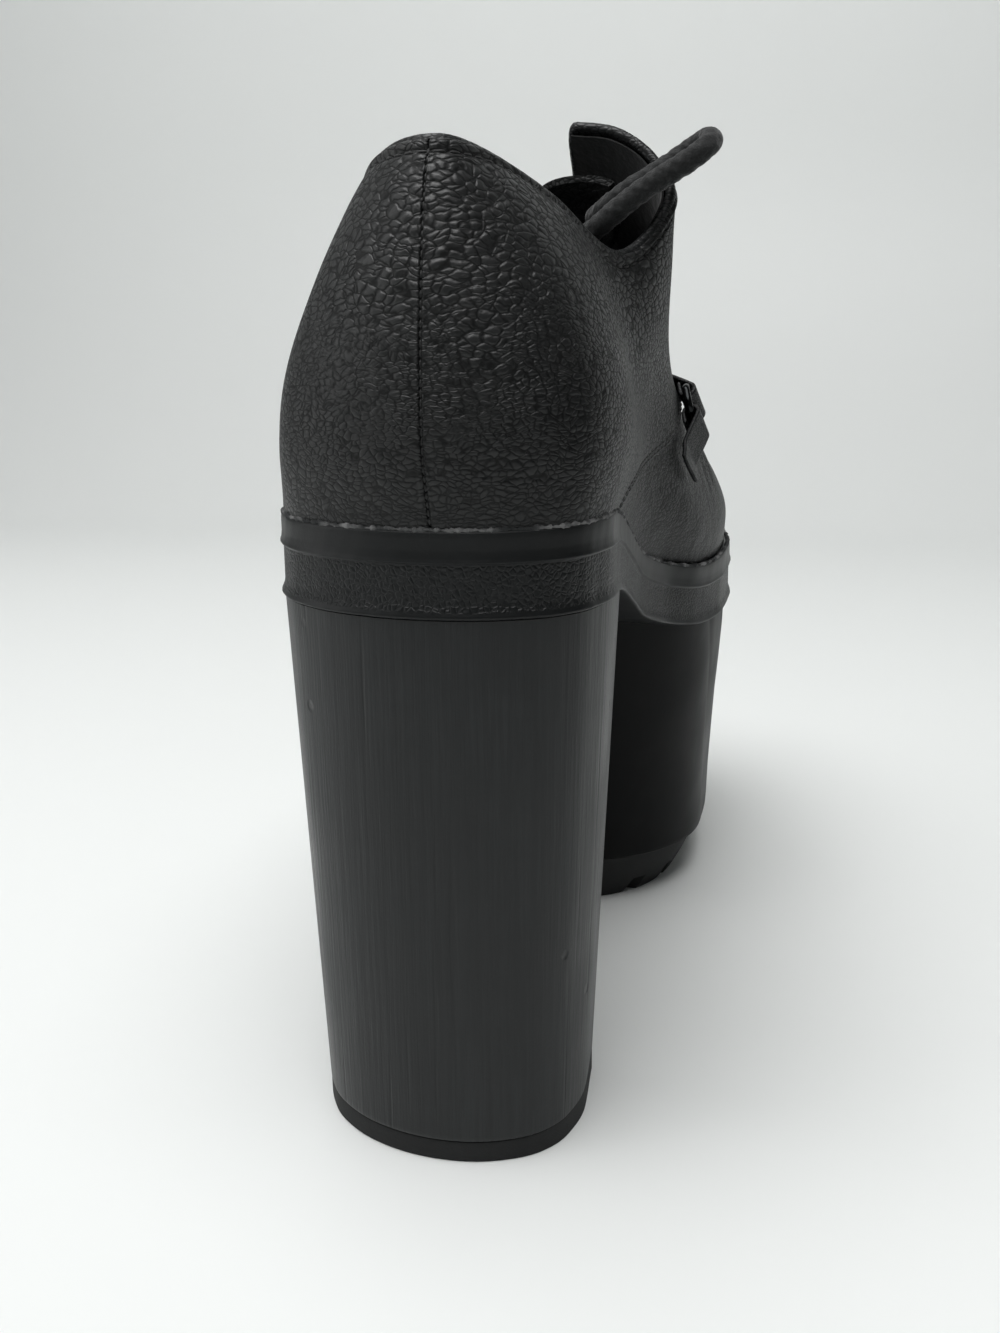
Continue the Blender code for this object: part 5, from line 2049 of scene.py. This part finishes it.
# Eyelets and lace
@dataclass
class Lacing:
    """Eyelets, the lace's bars over the throat, and the loop of its bow."""

    last: Last
    shop: Workshop
    bore: float = 6.0 * MM
    barrel: float = 0.5 * MM
    flange: float = 10.0 * MM
    thick: float = 0.7 * MM
    seat: float = 0.8 * MM
    pairs: int = 3
    around: float = 0.685
    first: float = 0.685
    top: float = 0.905
    diameter: float = 4.8 * MM
    sag: float = 8.0 * MM
    droop: float = 0.018
    route: tuple[tuple[float, float, float], ...] = (
        # millimetres across, forward from the heel's back, and up
        (18.0, 92.0, 187.0), (17.5, 86.0, 184.6), (17.8, 80.5, 184.0), (21.0, 77.5, 186.0),
        (25.5, 76.5, 189.0), (30.5, 77.0, 191.8), (35.0, 78.6, 194.8), (38.6, 79.0, 197.2),
        (41.6, 77.4, 198.6), (42.6, 74.0, 197.8), (41.2, 71.6, 195.9), (37.8, 71.6, 193.6),
        (33.4, 72.2, 191.2), (28.0, 72.4, 188.0), (23.0, 72.6, 184.4), (18.2, 73.6, 180.8),
        (13.0, 76.0, 178.0), (8.5, 81.0, 178.4))

    def build(self) -> None:
        """Build the eyelets and the lace."""
        for side in Side:
            for index in range(self.pairs):
                self.build_eyelet(side, index)
        self.build_bars()
        self.build_loop()

    @property
    def levels(self) -> list[float]:
        """Level of each pair of eyelets.

        Returns:
            The levels, from the lowest pair.
        """
        rise = self.top - self.first
        return [self.first + rise * index / (self.pairs - 1) for index in range(self.pairs)]

    def eyelet_frame(self, index: int, sign: int) -> tuple[Array, ...]:
        """Centre on the facing and three axes of an eyelet.

        Args:
            index: Which pair, from the lowest.
            sign: Side of the foot.

        Returns:
            Centre, two directions across and the outward one.
        """
        level, around = np.array([self.levels[index]]), np.array([sign * self.around])
        centre = self.last.skin(around, level, self.last.sizes.quarter_step)[0]
        normal = Vector(self.last.normal(around, level)[0])
        across = normal.orthogonal().normalized()
        return centre, np.array(across), np.array(normal.cross(across)), np.array(normal)

    def build_eyelet(self, side: Side, index: int) -> None:
        """One flanged eyelet with a rounded flange and a rolled mouth.

        Args:
            side: Side of the foot.
            index: Which pair, from the lowest.
        """
        centre, across, other, normal = self.eyelet_frame(index, side.value)
        bore, outer = self.bore / 2.0, self.bore / 2.0 + self.barrel
        top, foot = self.seat + self.thick, -(self.last.sizes.upper_wall + self.last.sizes.quarter_step)
        flange = self.flange / 2.0
        profile = np.array((
            # distance from the axis, height
            (outer, foot), (outer, self.seat * 0.25), (flange - 0.3 * MM, self.seat * 0.35),
            (flange, self.seat * 0.55), (flange - 0.25 * MM, self.seat + 0.45 * self.thick),
            (flange - 0.9 * MM, top - 0.05 * MM), (bore + 1.1 * MM, top), (bore + 0.5 * MM, top - 0.1 * MM),
            (bore + 0.1 * MM, self.seat * 0.7), (bore, 0.0), (bore, foot), (outer, foot)))

        def shape(u: Array, v: Array) -> Array:
            """Turn the profile about the eyelet's axis.

            Args:
                u: Shares round it.
                v: Shares along the profile.

            Returns:
                The places.
            """
            knots = np.linspace(0.0, 1.0, len(profile))
            reach, height = read_columns(v, knots, profile)
            angle = 2.0 * math.pi * np.where(u >= 1.0, 0.0, u)
            return spun(centre + normal * height[:, None], across, other, angle, reach)

        name = "eyelet_%s_%d" % (side.name.lower(), index + 1)
        piece = shaped_grid("metal_" + name, 48, 33, shape, weld=True)
        self.shop.finish(piece, Finish.METAL, (name,))

    def braid(self, angle: Array, distance: Array) -> Array:
        """Radius of the woven cord, with its crossing strands.

        Args:
            angle: Angles round it.
            distance: Distances along it.

        Returns:
            The radius there.
        """
        turn = distance / (5.2 * MM) * 2.0 * math.pi
        one = np.sin(4.0 * angle + turn * 1.5)
        two = np.sin(4.0 * angle - turn * 1.5)
        strands = np.maximum(np.maximum(one, two), -0.2)
        along = distance / MM
        uneven = 0.03 * ripple(along * 0.45, 0.8) + 0.02 * ripple(along * 2.3 + 3.0 * angle, 2.2)
        return self.diameter / 2.0 * (0.965 + 0.055 * strands + uneven)

    def lace_line(self) -> Array:
        """Route of the lace over the throat and under the facings.

        Returns:
            Its own points.
        """
        step, wall = self.last.sizes.quarter_step, self.last.sizes.upper_wall
        lift = self.seat + self.thick + self.last.sizes.clearance + self.diameter / 2.0
        under = wall + 2.0 * self.last.sizes.clearance + self.diameter / 2.0
        levels = self.levels
        route: list[Array] = []
        sign = 1
        for index, level in enumerate(levels):
            for end in (sign, -sign):
                centre, _across, _other, normal = self.eyelet_frame(index, end)
                hole = [centre + normal * height for height in (-(step + under), -MM, lift + 0.6 * MM)]
                droop = self.droop * index
                bar = [self.last.skin(end * around, level - droop * sag, step + lift - self.sag * sag)[0]
                       for around, sag in ((0.745, 0.0), (0.82, 0.45), (0.92, 0.9))]
                if end == sign:
                    route += hole + bar + [self.last.skin(1.0, level - droop, step + lift - self.sag)[0]]
                else:
                    route += bar[::-1] + hole[::-1]
            sign = -sign
            if index < self.pairs - 1:
                middle = (level + levels[index + 1]) / 2.0
                route.append(self.last.skin(sign * self.around, middle, -under)[0])
        return np.array(route)

    def build_bars(self) -> None:
        """The lace's bars, with the runs that join them under the facings."""
        path = smooth_route(self.lace_line(), 1150)
        piece = tube("lace_over_throat", path, self.braid, 24)
        self.shop.finish(piece, Finish.LACE, ("lace_bars",))

    def build_loop(self) -> None:
        """The bow's loop over the inner collar."""
        points = self.last.place(np.array(self.route) * MM)
        path = smooth_route(points, 460)
        piece = tube("bow_loop", path, self.braid, 28)
        self.shop.finish(piece, Finish.LACE, ("lace_loop",))
        [float(x) for x in path[0]]
        [[float(x) for x in spot] for spot in path[::4]]


# Rings, tabs and strap
@dataclass
class RingStrap:
    """Metal rings on the quarters' corners, their tabs, and the strap over the vamp."""

    last: Last
    shop: Workshop
    strap_width: float = 11.5 * MM
    strap_thick: float = 1.0 * MM
    ring_length: float = 17.5 * MM
    ring_width: float = 9.5 * MM
    ring_stock: float = 2.1 * MM
    ring_around: float = 0.565
    ring_level: float = 0.45
    ring_proud: float = 3.5 * MM
    ring_tilt: float = 41.0
    ring_corner: float = 2.5 * MM
    crest: float = 0.525
    sweep: float = 0.80
    tab_length: float = 14.0 * MM
    tab_land: float = 9.0 * MM
    strap_land: float = 8.0 * MM
    fold: float = 3.0 * MM
    wrap_start: float = -38.0
    shares: tuple[float, ...] = (-1.0, -0.6, -0.2, 0.2, 0.6, 1.0)
    tree: BVHTree = field(init=False)

    def __post_init__(self) -> None:
        """Build the search tree of the last's surface."""
        count, rings = 96, 40
        around, level = np.meshgrid(np.linspace(-1.0, 1.0, count, endpoint=False),
                                    np.linspace(0.0, 1.0, rings + 1))
        points = self.last.skin(around.ravel(), np.maximum(level.ravel(), 0.002), 0.0)
        faces = []
        for row in range(rings):
            for index in range(count):
                a, b = row * count + index, row * count + (index + 1) % count
                faces.append((a, b, b + count, a + count))
        self.tree = BVHTree.FromPolygons([Vector(point) for point in points], faces)

    @property
    def bar_reach(self) -> float:
        """Distance from a ring's middle to its long bars.

        Returns:
            The distance.
        """
        return (self.ring_width - self.ring_stock) / 2.0

    def build(self) -> None:
        """Build both rings with their tabs, and the strap."""
        for side in Side:
            self.build_ring(side)
            self.build_tab(side)
        self.build_strap()

    def drape(self, point: Vector, proud: float) -> Vector:
        """Nearest point of the last's surface, lifted off it.

        Args:
            point: The point to lay down.
            proud: How far it is lifted.

        Returns:
            The laid point.
        """
        size = self.last.sizes
        inside = Vector((0.0, 0.45 * size.length - size.heel_centre, size.heel_height))
        spot, normal, _face, _distance = self.tree.find_nearest(point)
        if normal.dot(point - spot) < 0.0 and normal.dot(spot - inside) < 0.0:
            normal = -normal
        return spot + normal * proud

    def ring_frame(self, sign: int) -> tuple[Vector, Vector, Vector, Vector]:
        """Centre, bar axis, strap axis and normal of a ring.

        Args:
            sign: Side of the foot.

        Returns:
            The four vectors.
        """
        around, level = np.array([sign * self.ring_around]), np.array([self.ring_level])
        base = Vector(self.last.skin(around, level, 0.0)[0])
        normal = Vector(self.last.normal(around, level)[0])
        forward = (Vector((0.0, 1.0, 0.0)) - normal * normal.y).normalized()
        up = Vector((0.0, 0.0, 1.0))
        up = (up - normal * normal.z - forward * up.dot(forward)).normalized()
        tilt = math.radians(self.ring_tilt)
        bar = forward * math.cos(tilt) - up * math.sin(tilt)
        strap = forward * math.sin(tilt) + up * math.cos(tilt)
        return base + normal * self.ring_proud, bar, strap, normal

    def build_ring(self, side: Side) -> None:
        """One rectangular ring of round black wire.

        Args:
            side: Side of the foot.
        """
        centre, bar, strap, _normal = self.ring_frame(side.value)
        half_long = (self.ring_length - self.ring_stock) / 2.0 - self.ring_corner
        half_short = self.bar_reach - self.ring_corner
        points = []
        for index, (along, across) in enumerate(((1, 1), (-1, 1), (-1, -1), (1, -1))):
            for angle in np.linspace(index, index + 1, 14) * math.pi / 2.0:
                points.append(centre + bar * (along * half_long + self.ring_corner * math.cos(angle))
                              + strap * (across * half_short + self.ring_corner * math.sin(angle)))
        path = even_loop(np.array(points), np.linspace(0.0, 1.0, 160, endpoint=False))
        word = side.name.lower()
        radius = self.ring_stock / 2.0
        piece = tube("wire_ring_" + word, path, lambda angle, _distance: np.full(len(angle), radius),
                     20, closed=True)
        self.shop.finish(piece, Finish.METAL, ("ring_" + word,))

    def bar_wrap(self, sign: int, toward: int, across: float) -> list[tuple[Vector, Vector]]:
        """Centre line of leather round a ring's bar.

        Args:
            sign: Side of the foot.
            toward: 1 for the strap's bar and -1 for the tab's.
            across: Place along the bar.

        Returns:
            Points and outward directions, from over the bar to the fold's end.
        """
        centre, bar, strap, normal = self.ring_frame(sign)
        radius = self.ring_stock / 2.0 + self.last.sizes.clearance + self.strap_thick / 2.0
        middle = centre + strap * (toward * self.bar_reach) + bar * across
        start = math.radians(self.wrap_start)
        points = []
        for part in range(9):
            angle = start + (math.pi - start) * part / 8.0
            direction = normal * math.cos(angle) - strap * (toward * math.sin(angle))
            points.append((middle + direction * radius, direction))
        points.append((middle - normal * radius + strap * (toward * self.fold), -normal))
        return points

    def drape_row(self, spot: Vector, wide: Vector, lie: float) -> list[tuple[Vector, Vector]]:
        """Row across a band that lies on the skin.

        Args:
            spot: Middle of the row.
            wide: Direction across the band.
            lie: Height of the band's middle over the last.

        Returns:
            Points and outward directions.
        """
        row = []
        for share in self.shares:
            at = self.drape(spot + wide * (self.strap_width / 2.0 * share), lie)
            row.append((at, (self.drape(at, lie + MM) - at).normalized()))
        return row

    def wrap_rows(self, sign: int, toward: int) -> list[list[tuple[Vector, Vector]]]:
        """Rows of a band's fold round a ring's bar, from the fold's end.

        Args:
            sign: Side of the foot.
            toward: 1 for the strap's bar and -1 for the tab's.

        Returns:
            The rows.
        """
        wraps = [self.bar_wrap(sign, toward, self.strap_width / 2.0 * share) for share in self.shares]
        return [[column[index] for column in wraps] for index in range(len(wraps[0]) - 1, -1, -1)]

    def leather_band(self, name: str, rows: list[list[tuple[Vector, Vector]]], finish: Finish,
                     nodes: tuple[str, ...], count: int) -> tuple[Array, Array]:
        """Leather band with soft round edges through rows of centre points.

        Args:
            name: Name of the piece.
            rows: Points and outward directions across the band.
            finish: Its finish.
            nodes: CAD nodes that it stands for.
            count: Faces along it.

        Returns:
            The band's outer face as rows of points, and the outward directions.
        """
        spots = np.array([[tuple(point) for point, _out in row] for row in rows])
        outs = np.array([[tuple(out) for _point, out in row] for row in rows])
        knots = running_length(spots[:, 2])
        places = np.linspace(0.0, knots[-1], count + 1)
        spots, outs = (free_curve(knots, table, places) for table in (spots, outs))
        lines = np.array(self.shares)
        half, edge = self.strap_thick / 2.0, 0.045
        bend = np.linspace(math.pi / 2.0, -math.pi / 2.0, 9)
        right = np.column_stack((1.0 - edge + edge * np.cos(bend), half * np.sin(bend)))
        top = np.column_stack((np.linspace(-(1.0 - edge), 1.0 - edge, 21)[1:-1], np.full(19, half)))
        section = np.vstack((top, right, top[::-1] * (1.0, -1.0), right[::-1] * (-1.0, 1.0)))

        def shape(u: Array, v: Array) -> Array:
            """Place the band's corners.

            Args:
                u: Shares round its section.
                v: Shares along it.

            Returns:
                The places.
            """
            result = np.empty((len(u), 3))
            rows_of = np.rint(v * count).astype(int)
            outline = np.rint(np.where(u >= 1.0, 0.0, u) * len(section)).astype(int) % len(section)
            for row in range(count + 1):
                mask = rows_of == row
                share, lift = section[outline[mask]].T
                if row in (0, count):
                    lift = lift * 0.0
                out = free_curve(lines, outs[row], share)
                out = out / np.linalg.norm(out, axis=1, keepdims=True)
                result[mask] = free_curve(lines, spots[row], share) + out * lift[:, None]
            return result

        piece = shaped_grid(name, len(section), count, shape, (0.036, float(knots[-1])), weld=True)
        self.shop.finish(piece, finish, nodes)
        return spots, outs

    def sew_edges(self, name: str, spots: Array, outs: Array, low: int, high: int) -> None:
        """Stitches along both edges of a band.

        Args:
            name: Name of the rows.
            spots: Rows of the band's centre points.
            outs: Outward directions.
            low: First row that is sewn.
            high: Row after the last.
        """
        share = 0.42
        row = StitchRow(pitch=2.4 * MM, length=1.9 * MM, radius=0.22 * MM)
        lift = self.strap_thick / 2.0 + 0.04 * MM
        for index, (near, far) in enumerate(((0, 1), (-1, -2))):
            line = spots[low:high, near] * (1.0 - share) + spots[low:high, far] * share
            out = outs[low:high, near]
            piece = row.sew("%s_%d" % (name, index + 1), line + out * lift, out)
            self.shop.finish(piece, Finish.THREAD)

    def build_strap(self) -> None:
        """Strap over the vamp, folded round a bar of each ring."""
        size = self.last.sizes
        lie = size.clearance + self.strap_thick / 2.0
        high = size.quarter_step + lie
        crest = Vector(self.last.skin(1.0, self.crest, 0.0)[0])
        halves = []
        for sign in (1, -1):
            centre, bar, strap, _normal = self.ring_frame(sign)
            rows = self.wrap_rows(sign, 1)
            start = self.drape(centre + strap * (self.bar_reach + self.strap_land), 0.0)
            middle = start.lerp(crest, 0.5)
            middle.y = start.y + (crest.y - start.y) * self.sweep
            middle.z = crest.z
            guide = np.array([tuple(spot) for spot in (start, self.drape(middle, 0.0), crest)])
            line = [self.drape(Vector(spot), 0.0) for spot in smooth_route(guide, 12)]
            for index in range(len(line) - 1):
                share = index / (len(line) - 1)
                out = (self.drape(line[index], MM) - line[index]).normalized()
                wide = (line[index + 1] - line[index]).cross(out).normalized()
                if wide.dot(bar) < 0.0:
                    wide = -wide
                wide = wide.lerp(bar, 1.0 - float(smooth_step(0.0, 0.4, share))).normalized()
                height = high + (lie - high) * float(smooth_step(0.3, 0.9, share))
                rows.append(self.drape_row(line[index], wide, height))
            halves.append(rows)
        middle_row = self.drape_row(crest, Vector((0.0, 1.0, 0.0)), lie)
        rows = halves[0] + [middle_row] + halves[1][::-1]
        spots, outs = self.leather_band("strap_over_vamp", rows, Finish.SMOOTH_EDGE, ("vamp_strap",), 260)
        self.sew_edges("strap_stitches", spots, outs, 44, 217)

    def build_tab(self, side: Side) -> None:
        """Tab on a quarter's corner, folded round the ring's rear bar.

        Args:
            side: Side of the foot.
        """
        centre, bar, strap, _normal = self.ring_frame(side.value)
        lie = self.last.sizes.quarter_step + self.last.sizes.clearance + self.strap_thick / 2.0
        rows = self.wrap_rows(side.value, -1)
        for step in (0.0, 0.45, 1.0):
            run = self.tab_land + (self.tab_length - self.tab_land) * step
            spot = centre - strap * (self.bar_reach + run)
            rows.append(self.drape_row(spot, bar, lie))
        word = side.name.lower()
        self.leather_band("leather_tab_" + word, rows, Finish.SMOOTH_EDGE, ("ring_tab_" + word,), 90)


# Camera, light and floor
@dataclass(frozen=True)
class Studio:
    """Pale sweep, soft light and the photo's camera."""

    eye: tuple[float, float, float] = (0.0597, -0.2392, 0.159)
    aim: tuple[float, float, float] = (0.0035, 0.02, 0.0915)
    focal: float = 1300.0
    image_height: float = 1333.0
    sensor: float = 36.0
    roll: float = 0.65
    lit_point: tuple[float, float, float] = (0.0, 0.04, 0.10)

    def build(self) -> None:
        """Set the floor, the lights and the camera."""
        self.build_floor()
        self.build_lights()
        self.build_camera()

    def build_floor(self) -> None:
        """Pale paper that sweeps up behind the shoe."""

        def shape(u: Array, v: Array) -> Array:
            """Place the sweep's corners.

            Args:
                u: Shares across.
                v: Shares from the front to the top behind.

            Returns:
                The places.
            """
            run, bend = 4.0, 0.35
            along = v * 6.0
            turn = np.clip((along - run) / bend, 0.0, math.pi / 2.0)
            y = np.minimum(along, run) + bend * np.sin(turn) - 3.2
            z = bend * (1.0 - np.cos(turn)) + np.maximum(along - run - bend * math.pi / 2.0, 0.0)
            return np.column_stack(((u - 0.5) * 6.0, y, z))

        floor = shaped_grid("sweep", 8, 180, shape)
        paper, graph, shader, _place = start_material("pale paper")
        link(graph, shader, Base_Color=(0.80, 0.815, 0.805, 1.0), Roughness=0.55)
        floor.data.materials.append(paper)
        floor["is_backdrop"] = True

    def add_light(self, name: str, place: tuple[float, float, float], size: tuple[float, float],
                  power: float) -> None:
        """Add one soft light that looks at the shoe.

        Args:
            name: Name of the light.
            place: Where it hangs.
            size: Its width and height.
            power: Its power in watts.
        """
        data = bpy.data.lights.new(name, "AREA")
        data.shape = "RECTANGLE"
        data.size, data.size_y = size
        data.energy = power
        light = bpy.data.objects.new(name, data)
        bpy.context.scene.collection.objects.link(light)
        light.location = place
        direction = Vector(self.lit_point) - Vector(place)
        light.rotation_euler = direction.to_track_quat("-Z", "Y").to_euler()

    def build_lights(self) -> None:
        """A broad light overhead, one behind and two weak ones at the sides."""
        world = bpy.data.worlds.new("studio")
        world.use_nodes = True
        shade = world.node_tree.nodes["Background"]
        shade.inputs["Color"].default_value = (0.90, 0.94, 0.93, 1.0)
        graph = Graph(world.node_tree)
        direction = graph.add("ShaderNodeTexCoord").outputs["Generated"]
        across = graph.add("ShaderNodeSeparateXYZ", {"Vector": direction})
        strength = graph.range(across.outputs[0], -0.3, 0.6, 0.22, 0.05)
        seen = graph.add("ShaderNodeLightPath").outputs["Is Camera Ray"]
        strength = graph.plus(strength, graph.times(seen, 0.50))
        world.node_tree.links.new(strength, shade.inputs["Strength"])
        bpy.context.scene.world = world
        bpy.context.scene.view_settings.view_transform = "Standard"
        for name, place, size, power in (
                ("overhead", (-0.1, -0.2, 1.3), (1.2, 1.1), 20.5),
                ("behind", (-0.2, 1.6, 0.9), (2.4, 1.0), 12.0),
                ("left", (-1.1, -0.2, 0.5), (0.9, 0.9), 2.8),
                ("right", (1.0, -0.3, 0.65), (0.8, 0.9), 0.3)):
            self.add_light(name, place, size, power)

    def build_camera(self) -> None:
        """Camera where the photo's stood, turned to frame the one shoe."""
        data = bpy.data.cameras.new("camera")
        data.sensor_width = self.sensor
        data.lens = self.focal / self.image_height * self.sensor
        data.clip_start = 0.01
        camera = bpy.data.objects.new("camera", data)
        bpy.context.scene.collection.objects.link(camera)
        look = (Vector(self.aim) - Vector(self.eye)).normalized()
        side = look.cross(Vector((0.0, 0.0, 1.0))).normalized()
        up = side.cross(look)
        roll = math.radians(self.roll)
        right = side * math.cos(roll) - up * math.sin(roll)
        top = up * math.cos(roll) + side * math.sin(roll)
        turn = Matrix((right, top, -look)).transposed()
        camera.matrix_world = Matrix.Translation(Vector(self.eye)) @ turn.to_4x4()
        bpy.context.scene.camera = camera


def save_sizes(before: tuple[Vector, Vector], after: tuple[Vector, Vector]) -> None:
    """Write the shown box before and after the pieces were added.

    Args:
        before: Lowest and highest corner right after loading.
        after: The same once every piece is in place.
    """
    boxes = {"before": [list(corner) for corner in before], "after": [list(corner) for corner in after]}
    LOG.info("box before %s, after %s", boxes["before"], boxes["after"])


def main() -> None:
    """Build the shoe in its order and set the stage."""
    logging.basicConfig(level=logging.INFO, format="%(name)s: %(message)s")
    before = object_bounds()
    last = Last()
    shop = Workshop()
    Sole(last, shop).build()
    Upper(last, shop).build()
    Lacing(last, shop).build()
    RingStrap(last, shop).build()
    Studio().build()
    save_sizes(before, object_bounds())


if __name__ == "__main__":
    main()
